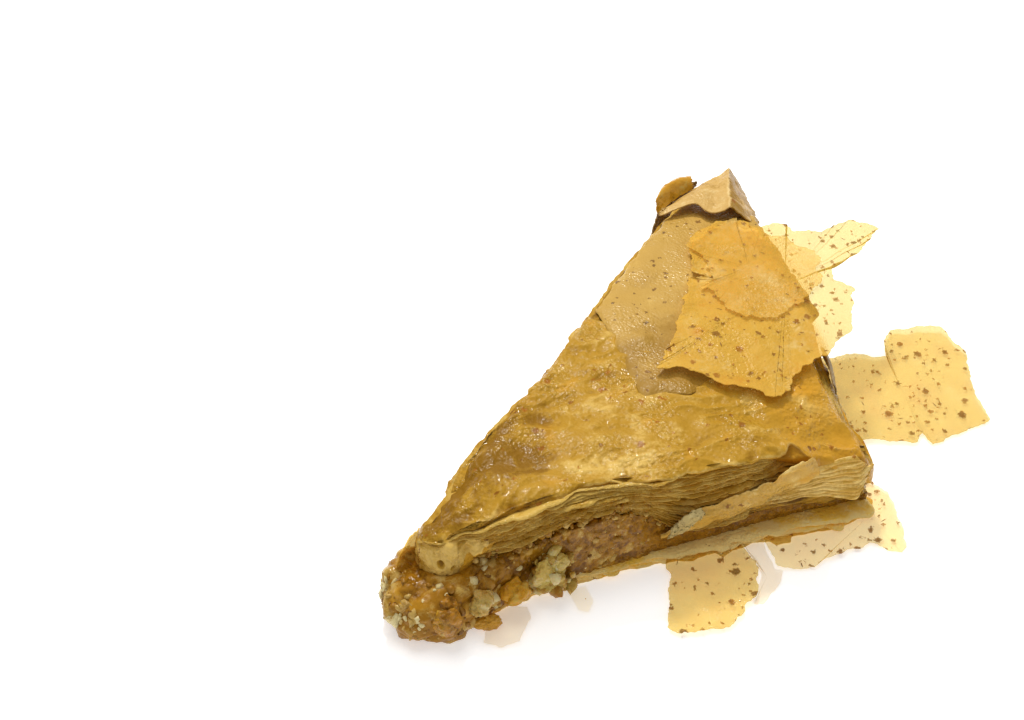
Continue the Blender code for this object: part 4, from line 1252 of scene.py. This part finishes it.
def nut_surface(centre, size, seed, rows=90, columns=140):
    """A broken nut: a ball cut by soft planes, furrowed by noise, stretched to its size."""
    polar = np.linspace(0.0, math.pi, rows + 2)[1:-1]
    turn = np.linspace(0.0, 2.0 * math.pi, columns, endpoint=False)
    ball = np.stack(np.broadcast_arrays(
        np.sin(polar)[:, None] * np.cos(turn)[None],
        np.sin(polar)[:, None] * np.sin(turn)[None],
        -np.cos(polar)[:, None],
    ), axis=-1)
    rng = np.random.default_rng(seed)
    planes = unit(rng.normal(size=(11, 3)))
    distance = rng.uniform(0.72, 1.0, size=11)
    facing = np.clip(ball @ planes.T, 0, None) / distance
    radius = 1.0 / np.maximum((facing**4).sum(-1) ** (1 / 4), 0.95)
    radius = radius * (1.0 + 0.26 * (0.35 - np.abs(noise(ball, 0.7, seed))) + 0.07 * rough_noise(ball, 0.3, seed + 1, 3))
    first, _, _ = lumps(ball, 0.3, seed + 2)
    radius = radius + 0.05 * (0.6 - first)
    return np.asarray(centre) + ball * radius[..., None] * (np.asarray(size) / 2.0)


def build_nuts(context):
    """The whole nut pieces at the tip, each in its CAD node's box: broken lumps in syrup, and a crumbly
    cluster of small pale bits round three larger ones."""
    hues = context.scene.baklava_colours
    kinds = (
        ("tip_walnut", "tip_walnut_piece", 306, (hues.walnut, hues.amber, hues.nut_dark), 4),
        ("tip_pale_nut", "pale_nut_piece", 302, (hues.nut_pale, hues.blanched, hues.nut), 4),
        ("tip_amber_nut", "amber_nut_piece", 303, (hues.amber, hues.yellow_nut, hues.walnut), 2),
        ("front_nut_cluster", "yellow_nut_cluster", 304, (hues.yellow_nut, hues.blanched, hues.nut), 8),
    )
    lump = pastry_finish(
        "amber lump", hues.amber, hues.yellow_nut, hues.nut_dark, patch=1.8, contrast=1.1,
        roughness=(0.05, 0.28), grain=0.5, relief=0.5, gloss=0.4)
    grid = nut_surface((-44.8, -33.8, 1.7), (4.8, 3.4, 3.2), 330, 60, 90)
    grid[..., 2] = np.maximum(grid[..., 2], 0.1)
    add_piece("amber_lump", *closed_rings(grid), lump, "nuts")
    for node, name, seed, (body, light, dark), parts in kinds:
        low, high = (np.array(corner) / MM - PLAN_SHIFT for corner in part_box(node))
        centre, size = (low + high) / 2.0, high - low
        if node == "tip_walnut":
            centre, size = centre + (0.3, 1.0, -0.4), size * 0.88
        rng = np.random.default_rng(seed)
        shapes, faces, tones, start = [], [], [], 0
        for j in range(parts):
            share = (1.0, 0.84, 0, 0.72, 0, 0, 0, 0.52)[parts - 1]
            shift = rng.uniform(-0.5, 0.5, 3) * size * (1.0 - share)
            grid = nut_surface(centre + shift, size * share, seed + 7 * j, 46, 72)
            grid[..., 2] = np.maximum(grid[..., 2], 0.1)
            shape, made = closed_rings(grid)
            shapes.append(shape)
            faces.append([f + start for f in made])
            start += len(shape)
            tones.append(np.full(len(shape), 0.3 + 0.35 * rng.uniform()))
        shape = np.vstack(shapes)
        tone = np.concatenate(tones) + 0.25 * noise(shape, 1.8, seed) + 0.12 * noise(shape, 0.7, seed + 1)
        finish = pastry_finish(
            name.replace("_", " "), body, light, dark, patch=1.8, contrast=1.1, attribute="tone",
            roughness=(0.1, 0.3), subsurface=0.25, grain=0.5, relief=0.5, gloss=0.15, coat=0.45, coat_roughness=0.05)
        add_piece(name, shape, [np.vstack([f[0] for f in faces]), np.vstack([f[1] for f in faces])],
                  finish, "nuts", [node], tone=tone)
        if parts == 8:
            spots = centre + unit(rng.normal(size=(60, 3))) * size * rng.uniform(0.28, 0.5, (60, 1))
            spots[:, 2] = np.maximum(spots[:, 2], 0.5)
            scatter("cluster_crumbs", spots, 0.4 + 0.8 * rng.power(0.6, 60), 0.3, 8, finish, "nuts", 320)


def build_bottom(context):
    """The thin bottom pastry: a flat base with a ragged edge and three torn sheets that stand out past
    it at the front."""
    hues = context.scene.baklava_colours
    points, outward = triangle_edge(0.28, 0.36, 0.5)
    reach = edge_reach(points, outward, BOTTOM_FRONT, spilled=True, inset=0.6) - 2.4 * spill(points[:, 0])
    roof = along(BOTTOM_ROOF, points[:, 0])
    t = np.linspace(0.0, 1.0, 14)[:, None]
    place = np.concatenate((np.repeat(points[None], 14, 0), (roof * t)[..., None]), axis=-1)
    relief = 0.25 * rough_noise(place, (3.0, 3.0, 0.5), 111, 3)
    sides = points[None] + outward[None] * (reach - 0.7 + relief)[..., None]
    wall = np.concatenate((sides, (roof * t)[..., None]), axis=-1)
    spot = HUB + (points - HUB) * 0.85
    low = np.concatenate((spot, 0.0 * roof[:, None]), axis=-1)[None]
    high = np.concatenate((spot, roof[:, None]), axis=-1)[None]
    shape, faces = closed_rings(np.concatenate((low, wall, high)))
    # The tone follows the wall's relief: darker where it is set back, as painted shade in the recesses.
    tone = np.concatenate((relief[:1] * 0 + 0.4, 0.45 + relief, relief[:1] * 0 + 0.4))
    core, core_faces, core_tone = shape, faces, with_ends(tone)

    count = 4
    share = np.array((0.12, 0.4, 0.68, 0.95))
    level = np.repeat(np.arange(count)[:, None], len(points), axis=1) + 80.0
    place = np.concatenate((np.repeat(points[None], count, 0), level[..., None]), axis=-1)

    def bottom_height(fraction, plan):
        return 0.15 + along(BOTTOM_ROOF, plan[..., 0]) * fraction

    own = reach[None] + 0.5 * noise(place, (6.0, 6.0, 0.8), 112) + 0.2 * rough_noise(place, (2.0, 2.0, 0.6), 113, 4, 0.6)
    own += 1.2 * ease((noise(place, (5.0, 5.0, 0.9), 114) - 0.2) / 0.4) * (1 - spill(points[:, 0]))
    ledge = ease((points[:, 0] + 14.0) / 3.0) * ease((9.0 - points[:, 0]) / 4.0)[None]
    own += ledge * (0.5 + 0.9 * noise(place, (4.0, 4.0, 1.0), 118))
    droop = 0.3 * noise(place, (3.0, 3.0, 0.8), 115) - 0.25
    rings, faces = sheet_rings(points, outward, share, bottom_height, own, 0.1 * noise(place, 5.0, 116), droop,
                               0.22 + 0.0 * own, low_limit=0.03, sunk=0.0)
    tone = 0.62 + 0.25 * noise(place, (4.0, 4.0, 1.2), 117) + 0.3 * ledge
    # Painted shade and light across each sheet: darker on the hidden inner lines and on the underside, lighter at the
    # top of the torn edge.
    tone = tone[:, None, :] + np.array((-0.3, -0.05, 0.2, 0.25, 0.05, -0.2))[None, :, None]
    finish = pastry_finish(
        "bottom sheets", hues.bottom, hues.thin_pale, hues.edge_pale, patch=3.0, contrast=1.0, attribute="tone",
        flecks=((1.8, 0.15, 0.2),), fleck_colour=hues.bran, roughness=(0.15, 0.4), grain=0.5, relief=0.5,
        gloss=0.25)
    add_piece("bottom_core", core, core_faces, finish, "bottom_pastry", ["bottom_pastry"], tone=core_tone)
    add_piece("bottom_sheet_edges", rings, [faces], finish, "bottom_pastry", tone=tone)


def thin_sheet_finish(name, hues, **changes):
    """The finish of a single sheet that lets light through: golden over pastry and pale over a pale
    floor."""
    settings = dict(
        patch=6.0, contrast=1.1, roughness=(0.2, 0.5), grain=0.5, relief=0.4, gloss=0.25,
        see_through=0.75, tint=(0.905, 0.875, 0.66), stain=hues.thin_brown, fleck_colour=hues.bran, level=True,
        flecks=((4.4, 0.6, 0.15), (2.3, 0.4, 0.16), (1.2, 0.16, 0.2)))
    settings.update(changes)
    return pastry_finish(name, hues.thin, hues.thin_pale, hues.thin_brown, **settings)


def add_bran(name, slot, places, count, largest, seed):
    """Flat flecks of bran on a sheet: each is a thin double cone over an uneven oval rim. They gather
    where a noise over the sheet is high, and a few are long dark slivers."""
    hues = bpy.context.scene.baklava_colours
    rng = np.random.default_rng(seed)
    weight = 0.12 + ease(0.5 + 1.6 * noise(places, 5.0, seed))
    middles = places[rng.choice(len(places), size=count, p=weight / weight.sum())]
    middles = middles + rng.uniform(-0.25, 0.25, (count, 3)) * (1, 1, 0)
    size = 0.14 + (largest - 0.14) * rng.power(0.42, count)
    sliver = rng.uniform(0, 1, count) < 0.6
    long = np.where(sliver, 2.6, rng.uniform(1.0, 1.35, count))
    size = np.where(sliver, 0.25, size)
    turn = np.linspace(0.0, 2.0 * math.pi, 9, endpoint=False)
    radius = size[:, None] * rng.uniform(0.6, 1.15, (count, 9))
    across, over = np.cos(turn) * radius * long[:, None], np.sin(turn) * radius / long[:, None]
    way = rng.uniform(0, math.pi, count)[:, None]
    rim = np.stack((across * np.cos(way) - over * np.sin(way), across * np.sin(way) + over * np.cos(way),
                    0 * across), axis=-1)
    tips = np.zeros((count, 2, 3))
    tips[:, 1, 2] = 0.03
    tips[:, 0, 2] = -0.03
    points = np.concatenate((rim, tips), axis=1) + middles[:, None] + (0, 0, 0.03)
    here = np.arange(9)
    after = (here + 1) % 9
    fans = np.vstack((np.column_stack((after, here, np.full(9, 9))), np.column_stack((here, after, np.full(9, 10)))))
    faces = (fans[None] + (11 * np.arange(count))[:, None, None]).reshape(-1, 3)
    tone = np.repeat(np.where(sliver, 0.0, rng.uniform(0.35, 1.0, count))[:, None], 11, axis=1)
    bran = bpy.data.materials.get("bran") or pastry_finish(
        "bran", hues.bran, hues.bran_pale, hues.bran_dark, patch=1.0, contrast=0.6, attribute="tone",
        roughness=(0.4, 0.6), grain=0.3, relief=0.3)
    add_piece(name, points, [faces], bran, slot, flat=True, tone=tone)


def upper_places(shape, share, rings, count):
    """Points of a torn sheet's upper side, spread evenly over it."""
    chosen = np.random.default_rng(5).uniform(0, 1, rings * count) < share[rings * count:2 * rings * count] ** 1.3
    return shape[rings * count:2 * rings * count][chosen & (share[rings * count:2 * rings * count] < 0.97)]


def build_loose_sheet(context):
    """The large torn sheet lying on the top, with a smaller torn sheet stuck to its back left part."""
    hues = context.scene.baklava_colours

    def height(plan, out):
        waves = 0.6 * noise(plan, 12.0, 121) + 0.34 * noise(plan, 5.0, 122) + 0.10 * noise(plan, 1.8, 123)
        lifted = 0.5 * out**10 * noise(plan, 5.0, 124) + 0.35 * out**14
        return top_height(plan) + 1.25 + waves + lifted

    shape, faces, out = torn_sheet(LOOSE_SHEET, (24.0, 8.0), height, 0.2, 640, 60, 0.65, 125)
    spots = 0.75 * bell(shape, 4.0, 0.5, 1.3) + 0.35 * bell(shape, 17.0, 6.0, 3.5) + 0.3 * bell(shape, 9.5, 8.5, 2.6)
    stain = spots * (0.8 + 0.5 * noise(shape, 1.5, 128)) + 0.25 * ease(noise(shape, 6.0, 129))
    finish = thin_sheet_finish("loose sheet", hues, dense=0.45)
    right_side = 25.0 + 3.8 * (shape[:, 1] + 29.5) / 75.1
    add_piece("loose_torn_sheet", shape, faces, finish, "loose_sheet", ["loose_sheet"],
              stain=np.clip(stain, 0, 1), over_body=ease((right_side - 1.0 - shape[:, 0]) / 2.0))
    add_bran("loose_sheet_bran", "loose_sheet", upper_places(shape, out, 60, 640), 12, 0.3, 141)

    def second_height(plan, out):
        return height(plan, out * 0.0) + 0.5 + 0.16 * noise(plan, 4.0, 126) + 0.3 * out**10

    shape, faces, out = torn_sheet(SECOND_SHEET, (19.5, 14.0), second_height, 0.16, 520, 40, 0.9, 127)
    second = thin_sheet_finish("second sheet", hues, lift=0.6, see_through=0.68, tint=(1.0, 0.99, 0.92),
                               flecks=((3.9, 0.4, 0.12), (2.1, 0.2, 0.13)))
    add_piece("second_torn_sheet", shape, faces, second, "loose_sheet", stain=0.2 * ease(noise(shape, 5.0, 130)))
    add_bran("second_sheet_bran", "loose_sheet", upper_places(shape, out, 40, 520), 5, 0.3, 142)


def build_flakes(context):
    """The flat flakes on the floor, the thin flap under the tip and the drip of syrup."""
    hues = context.scene.baklava_colours
    pale = thin_sheet_finish("pale floor flakes", hues)
    creamy = thin_sheet_finish("creamy floor flake", hues, see_through=0.82, tint=(0.985, 0.965, 0.83))
    golden = thin_sheet_finish("golden floor flake", hues, roughness=(0.1, 0.35), see_through=0.74,
                               tint=(0.94, 0.90, 0.66), coat=0.8, coat_roughness=0.06, relief=0.5)
    clear = thin_sheet_finish("clear floor flake", hues, see_through=0.90, gloss=0.5, roughness=(0.08, 0.3),
                              tint=(0.965, 0.955, 0.92), flecks=())
    syrup = thin_sheet_finish("syrup drip", hues, see_through=0.95, gloss=0.6, roughness=(0.03, 0.1),
                              tint=(0.99, 0.975, 0.93), flecks=())
    kinds = (
        ("side_floor_flake", "side_flake_sheet", SIDE_FLAKE, (44.0, -4.0), pale, 520, 48, 0.4, 0.25, 6),
        ("corner_floor_flake", "corner_flake_sheet", CORNER_FLAKE, (24.0, -31.0), creamy, 460, 36, 0.4, 0.15, 3),
        ("golden_floor_flake", "golden_flake_sheet", GOLDEN_FLAKE, (-7.0, -37.0), golden, 460, 44, 0.45, 0.45, 3),
        ("clear_floor_flake", "clear_flake_sheet", CLEAR_FLAKE, (1.6, -38.4), clear, 300, 30, 0.25, 0.1, 0),
        ("tip_floor_flap", "tip_flap_sheet", TIP_FLAP, (-41.6, -35.0), clear, 300, 30, 0.25, 0.3, 0),
        ("syrup_drip", "syrup_drip_bead", DRIP, (-29.0, -33.6), syrup, 160, 24, 0.08, 0.2, 1),
    )
    for i, (node, name, outline, centre, finish, count, rings, ragged, base, flecks) in enumerate(kinds):
        def height(plan, out, seed=400 + 11 * i, base=base):
            waves = 0.28 * (1 + noise(plan, 7.0, seed)) + 0.12 * (1 + noise(plan, 2.6, seed + 1))
            lifted = 0.4 * out**8 * (0.6 + noise(plan, 5.0, seed + 2))
            return np.maximum(0.04, base - 0.15 + waves + lifted)

        thickness = 0.9 if node == "syrup_drip" else 0.2
        shape, faces, out = torn_sheet(outline, centre, height, thickness, count, rings, ragged, 430 + i)
        slot = "syrup" if node == "syrup_drip" else "floor_flakes"
        stain = 0.35 * ease(noise(shape, 5.0, 440 + i) * 1.5)
        if node == "golden_floor_flake":
            stain = stain + 0.9 * ease((shape[:, 1] + 40.0) / 9.0) * (0.7 + 0.4 * noise(shape, 3.0, 450))
        add_piece(name, shape, faces, finish, slot, [node], stain=np.clip(stain, 0, 1))
        if flecks:
            add_bran(name + "_bran", slot, upper_places(shape, out, rings, count), flecks, 0.3, 460 + i)


def build_curls(context):
    """The sheets that curl: at the back corner, under it on the diagonal side, at the tip, a folded
    sliver at the right edge and an amber bit behind the curl. A sheet can have one crease, a line across
    it that it falls away from on both sides."""
    hues = context.scene.baklava_colours
    tan = pastry_finish(
        "curled sheet", hues.curl, hues.curl_pale, hues.tan, patch=3.0, contrast=1.5, attribute="lift",
        flecks=((3.0, 0.4, 0.2), (1.6, 0.2, 0.2)), fleck_colour=hues.bran, roughness=(0.3, 0.55), grain=0.5,
        relief=0.35)
    grey = pastry_finish(
        # The side sheet and the edge sliver are painted the grey of their shade.
        "greyish side sheet", hues.grey, hues.curl_pale, hues.tan, patch=4.0, contrast=0.8, attribute="lift",
        flecks=((2.6, 0.25, 0.2),), fleck_colour=hues.bran, roughness=(0.2, 0.5), grain=0.5, relief=0.4)
    amber = pastry_finish(
        "amber flap", hues.amber, hues.yellow_nut, hues.nut_dark, patch=3.0, contrast=1.0, attribute="lift",
        roughness=(0.08, 0.25), grain=0.9, relief=0.3, gloss=0.4, coat=0.6, coat_roughness=0.06)
    glossy = thin_sheet_finish("tip curl", hues, see_through=0.5, tint=(0.97, 0.87, 0.5), flecks=(), coat=0.6)
    shard = pastry_finish(
        "pale torn shard", hues.pale_grey, hues.blanched, hues.grey, patch=2.5, contrast=1.2, attribute="lift",
        roughness=(0.1, 0.4), grain=0.5, relief=0.5)
    kinds = (
        ("back_curl_sheet", BACK_CURL, 90, 150, 0.04, tan, ["back_curl"], 0.5, 0.7, 501),
        ("side_corner_sheet", CORNER_SHEET, 80, 100, 0.07, grey, ["corner_sheet"], 0.3, None, 502),
        ("tip_curl_flap", TIP_CURL, 90, 90, 0.05, glossy, ["tip_curl"], 0.5, None, 503),
        ("edge_sliver", EDGE_SLIVER, 40, 90, 0.05, grey, [], 0.2, None, 504),
        ("torn_shard", TORN_SHARD, 50, 80, 0.14, shard, [], 0.3, None, 506),
        ("amber_back_bit", AMBER_BIT, 50, 70, 0.06, amber, [], 0.4, None, 505),
    )
    for name, rows, down, across, ragged, finish, nodes, wave, crease, seed in kinds:
        grid = curved_grid(rows, down, across, ragged, seed)
        normals = grid_normals(grid)
        rise = wave * (0.5 * noise(grid, 4.0, seed) + 0.2 * noise(grid, 1.6, seed + 1))
        v = np.linspace(0.0, 1.0, across)[None]
        lift = 0.5 + 0.3 * rise + 0.15 * noise(grid, 3.0, seed + 2)
        if crease:
            rise = rise - 0.9 * np.minimum(np.abs(v - crease) / 0.16, 1.0) ** 0.7
            # At the crease, a pale line along the ridge is a painted highlight, and the sheet beyond it is darker,
            # painted shade on the side turned from the light.
            lift = lift + 0.35 * np.exp(-(((v - crease) / 0.02) ** 2)) - 0.42 * ease((v - crease) / 0.03)
        shape, faces = closed_shell(grid + normals * rise[..., None], 0.26)
        add_piece(name, shape, faces, finish, "curled_sheets", nodes, lift=np.tile(lift.ravel(), 2))


# ---------------------------------------------------------------- the stage


def build_stage(context):
    """A plain pale floor, a wide soft lamp overhead, a smaller one for glints, and the camera."""
    stage = context.scene.baklava_stage
    scene = context.scene
    half = stage.floor_size / 2.0
    mesh = bpy.data.meshes.new("floor")
    corners = [(-half, -half, 0), (half, -half, 0), (half, half, 0), (-half, half, 0)]
    mesh.from_pydata([(x, y, -0.00004) for x, y, _ in corners], [], [(0, 1, 2, 3)])
    floor = bpy.data.objects.new("floor", mesh)
    scene.collection.objects.link(floor)
    paint = bpy.data.materials.new("pale floor")
    paint.use_nodes = True
    shader = paint.node_tree.nodes["Principled BSDF"]
    shader.inputs["Base Color"].default_value = (0.93, 0.93, 0.93, 1.0)
    shader.inputs["Roughness"].default_value = 0.7
    shader.inputs["Specular IOR Level"].default_value = 0.1
    shader.inputs["Emission Color"].default_value = (1.0, 1.0, 1.0, 1.0)
    shader.inputs["Emission Strength"].default_value = 0.43
    mesh.materials.append(paint)

    world = bpy.data.worlds.new("studio")
    world.use_nodes = True
    world.node_tree.nodes["Background"].inputs["Color"].default_value = (1.0, 1.0, 1.0, 1.0)
    world.node_tree.nodes["Background"].inputs["Strength"].default_value = stage.sky
    scene.world = world

    lamps = (
        ("soft lamp", (-0.10, 0.18, 0.80), (0.0, 0.0, 0.01), 0.45, stage.soft_lamp),
        ("glint lamp", (0.02, 0.37, 0.58), (-0.01, -0.02, 0.02), 0.08, stage.glint_lamp),
    )
    for name, place, aim, size, power in lamps:
        lamp = bpy.data.lights.new(name, "AREA")
        lamp.shape = "DISK"
        lamp.size = size
        lamp.energy = power
        lamp_object = bpy.data.objects.new(name, lamp)
        lamp_object.location = place
        lamp_object.rotation_euler = (Vector(aim) - Vector(place)).to_track_quat("-Z", "Y").to_euler()
        scene.collection.objects.link(lamp_object)

    camera = bpy.data.cameras.new("camera")
    camera.lens = 60.0
    camera.sensor_width = 36.0
    camera.clip_start = 0.01
    camera_object = bpy.data.objects.new("camera", camera)
    turn, rise = math.radians(-18.0), math.radians(42.0)
    aim = Vector((-0.0213, 0.0264, 0.0))
    away = Vector((math.sin(turn) * math.cos(rise), -math.cos(turn) * math.cos(rise), math.sin(rise)))
    camera_object.location = aim + away * 0.320
    camera_object.rotation_euler = (-away).to_track_quat("-Z", "Y").to_euler()
    scene.collection.objects.link(camera_object)
    scene.camera = camera_object
    scene.view_settings.view_transform = "Standard"


# ---------------------------------------------------------------- properties, operators and panel


def hue(name, description, value):
    """A colour property, in linear light."""
    return FloatVectorProperty(name=name, description=description, subtype="COLOR", size=3, min=0.0, max=1.0,
                               default=value)


class BaklavaSizes(bpy.types.PropertyGroup):
    """Counts that set how fine the pastry is."""

    top_columns: IntProperty(name="Top columns", description="Grid lines along the glossy top sheet",
                             default=440, min=50, max=500)
    top_rows: IntProperty(name="Top rows", description="Grid lines across the glossy top sheet",
                          default=220, min=30, max=250)
    stack_sheets: IntProperty(name="Stack sheets", description="Torn sheet edges in the top stack",
                              default=15, min=4, max=24)
    band_sheets: IntProperty(name="Band sheets", description="Torn sheet edges in the folded band",
                             default=8, min=2, max=16)
    crumbs: IntProperty(name="Crumbs", description="Walnut crumbs pressed into the filling",
                        default=200, min=0, max=2000)


class BaklavaColours(bpy.types.PropertyGroup):
    """Colours of the pastry, nuts and syrup."""

    golden: hue("Golden", "Soaked top pastry", (0.46, 0.245, 0.020))
    cream: hue("Cream", "Raised, paler pastry", (0.70, 0.455, 0.11))
    orange: hue("Orange brown", "Deeper baked places", (0.64, 0.31, 0.022))
    olive: hue("Olive brown", "Thin, deeply soaked pastry", (0.25, 0.115, 0.004))
    dry: hue("Dry golden", "The dry sheet on top", (0.52, 0.305, 0.058))
    tan: hue("Tan", "Browner places of dry sheets", (0.35, 0.185, 0.022))
    bran: hue("Bran", "Flecks of bran", (0.38, 0.13, 0.009))
    bran_pale: hue("Pale bran", "Paler flecks of bran", (0.68, 0.36, 0.06))
    bran_dark: hue("Dark bran", "Darkest flecks and slivers", (0.22, 0.09, 0.012))
    edge: hue("Cut edge", "Cut sheet edges", (0.48, 0.25, 0.022))
    edge_pale: hue("Pale cut edge", "Cut edges that stand out", (0.64, 0.41, 0.085))
    # Wet syrup in the gaps between sheets, and also the colour of the painted shade in the gaps, the pocket and the
    # recesses of the cut edges.
    wet_gap_and_shade: hue("Dark gap", "Wet gaps between sheets", (0.11, 0.042, 0.002))
    band: hue("Folded band", "The pale folded band", (0.60, 0.345, 0.055))
    band_pale: hue("Pale band", "Raised places of the band", (0.84, 0.60, 0.20))
    band_dark: hue("Brown band", "Soaked places of the band", (0.26, 0.13, 0.018))
    # Brighter than the pastry's own colour: painted light, in place of light through the thin sheets and against the
    # shade under the overhang.
    bottom: hue("Bottom", "Sheets of the bottom pastry", (0.96, 0.57, 0.06))
    nut: hue("Nut", "Chopped nuts in syrup", (0.33, 0.145, 0.008))
    nut_pale: hue("Pale nut", "Pale bits of nut", (0.52, 0.33, 0.08))
    nut_dark: hue("Dark nut", "Skins and wet gaps between nuts", (0.17, 0.066, 0.003))
    blanched: hue("Blanched nut", "The palest bits of nut", (0.70, 0.58, 0.28))
    walnut: hue("Walnut", "The reddish walnut at the tip", (0.40, 0.18, 0.016))
    amber: hue("Amber", "Amber bits in syrup", (0.57, 0.275, 0.016))
    yellow_nut: hue("Yellow nut", "The yellowish cluster", (0.55, 0.38, 0.08))
    thin: hue("Thin sheet", "Single sheets", (0.88, 0.52, 0.075))
    thin_pale: hue("Pale thin sheet", "Palest places of single sheets", (0.98, 0.72, 0.26))
    thin_brown: hue("Brown thin sheet", "Browner places of single sheets", (0.80, 0.34, 0.025))
    curl: hue("Curled sheet", "The curl at the back corner", (0.60, 0.37, 0.11))
    curl_pale: hue("Pale curl", "Pale places of the curl", (0.74, 0.53, 0.22))
    pale_grey: hue("Pale grey", "The pale torn shard in the front cut", (0.50, 0.38, 0.15))
    # A grey of shade, not the sheet's own colour: painted shade on the sheets of the diagonal side and the edge sliver,
    # and also the darkest tone of the torn shard.
    grey: hue("Greyish sheet", "The sheet on the diagonal side", (0.28, 0.18, 0.075))


class BaklavaStage(bpy.types.PropertyGroup):
    """The floor and lights."""

    floor_size: FloatProperty(name="Floor size", description="Width of the floor", default=6.0, min=0.5,
                              unit="LENGTH")
    sky: FloatProperty(name="Sky", description="Strength of the even light from all sides", default=0.44, min=0.0)
    soft_lamp: FloatProperty(name="Soft lamp", description="Power of the wide lamp overhead", default=1.85, min=0.0,
                             unit="POWER")
    glint_lamp: FloatProperty(name="Glint lamp", description="Power of the small lamp behind", default=3.0, min=0.0,
                              unit="POWER")


class BAKLAVA_OT_top_sheet(bpy.types.Operator):
    """Build the glossy sheet over the front of the top"""

    bl_idname = "baklava.top_sheet"
    bl_label = "Top Sheet"

    def execute(self, context):
        build_top_sheet(context)
        return {"FINISHED"}


class BAKLAVA_OT_dry_sheet(bpy.types.Operator):
    """Build the matte sheet over the back of the top"""

    bl_idname = "baklava.dry_sheet"
    bl_label = "Dry Sheet"

    def execute(self, context):
        build_dry_sheet(context)
        return {"FINISHED"}


class BAKLAVA_OT_stack(bpy.types.Operator):
    """Build the cut sides of the top stack"""

    bl_idname = "baklava.stack"
    bl_label = "Sheet Stack"

    def execute(self, context):
        build_stack(context)
        return {"FINISHED"}


class BAKLAVA_OT_band(bpy.types.Operator):
    """Build the folded band with its lip and fringe"""

    bl_idname = "baklava.band"
    bl_label = "Folded Band"

    def execute(self, context):
        build_band(context)
        return {"FINISHED"}


class BAKLAVA_OT_filling(bpy.types.Operator):
    """Build the nut filling and its crumbs"""

    bl_idname = "baklava.filling"
    bl_label = "Nut Filling"

    def execute(self, context):
        build_filling(context)
        return {"FINISHED"}


class BAKLAVA_OT_nuts(bpy.types.Operator):
    """Build the whole nut pieces at the tip"""

    bl_idname = "baklava.nuts"
    bl_label = "Nuts"

    def execute(self, context):
        build_nuts(context)
        return {"FINISHED"}


class BAKLAVA_OT_bottom(bpy.types.Operator):
    """Build the bottom pastry"""

    bl_idname = "baklava.bottom"
    bl_label = "Bottom Pastry"

    def execute(self, context):
        build_bottom(context)
        return {"FINISHED"}


class BAKLAVA_OT_loose_sheet(bpy.types.Operator):
    """Build the torn sheets lying on the top"""

    bl_idname = "baklava.loose_sheet"
    bl_label = "Loose Sheet"

    def execute(self, context):
        build_loose_sheet(context)
        return {"FINISHED"}


class BAKLAVA_OT_flakes(bpy.types.Operator):
    """Build the flakes on the floor"""

    bl_idname = "baklava.flakes"
    bl_label = "Floor Flakes"

    def execute(self, context):
        build_flakes(context)
        return {"FINISHED"}


class BAKLAVA_OT_curls(bpy.types.Operator):
    """Build the curled sheets"""

    bl_idname = "baklava.curls"
    bl_label = "Curled Sheets"

    def execute(self, context):
        build_curls(context)
        return {"FINISHED"}


class BAKLAVA_OT_stage(bpy.types.Operator):
    """Build the floor, lights and camera"""

    bl_idname = "baklava.stage"
    bl_label = "Stage"

    def execute(self, context):
        build_stage(context)
        return {"FINISHED"}


OPERATORS = (
    BAKLAVA_OT_stage,
    BAKLAVA_OT_top_sheet,
    BAKLAVA_OT_dry_sheet,
    BAKLAVA_OT_stack,
    BAKLAVA_OT_band,
    BAKLAVA_OT_filling,
    BAKLAVA_OT_nuts,
    BAKLAVA_OT_bottom,
    BAKLAVA_OT_loose_sheet,
    BAKLAVA_OT_flakes,
    BAKLAVA_OT_curls,
)


class BAKLAVA_PT_panel(bpy.types.Panel):
    """The sizes, colours and building steps of the baklava piece"""

    bl_idname = "BAKLAVA_PT_panel"
    bl_label = "Baklava Piece"
    bl_space_type = "VIEW_3D"
    bl_region_type = "UI"
    bl_category = "Baklava"

    def draw(self, context):
        scene = context.scene
        for settings in (scene.baklava_sizes, scene.baklava_colours, scene.baklava_stage):
            box = self.layout.box()
            for key in settings.__annotations__:
                box.prop(settings, key)
        for operator in OPERATORS:
            self.layout.operator(operator.bl_idname)


SETTINGS = (
    ("baklava_sizes", BaklavaSizes),
    ("baklava_colours", BaklavaColours),
    ("baklava_stage", BaklavaStage),
)


def register():
    for name, settings in SETTINGS:
        bpy.utils.register_class(settings)
        setattr(bpy.types.Scene, name, PointerProperty(type=settings))
    for item in OPERATORS + (BAKLAVA_PT_panel,):
        bpy.utils.register_class(item)


def unregister():
    for item in (BAKLAVA_PT_panel,) + OPERATORS[::-1]:
        bpy.utils.unregister_class(item)
    for name, settings in SETTINGS[::-1]:
        delattr(bpy.types.Scene, name)
        bpy.utils.unregister_class(settings)


def main():
    register()
    for operator in OPERATORS:
        group, name = operator.bl_idname.split(".")
        getattr(getattr(bpy.ops, group), name)()


if __name__ == "__main__":
    main()
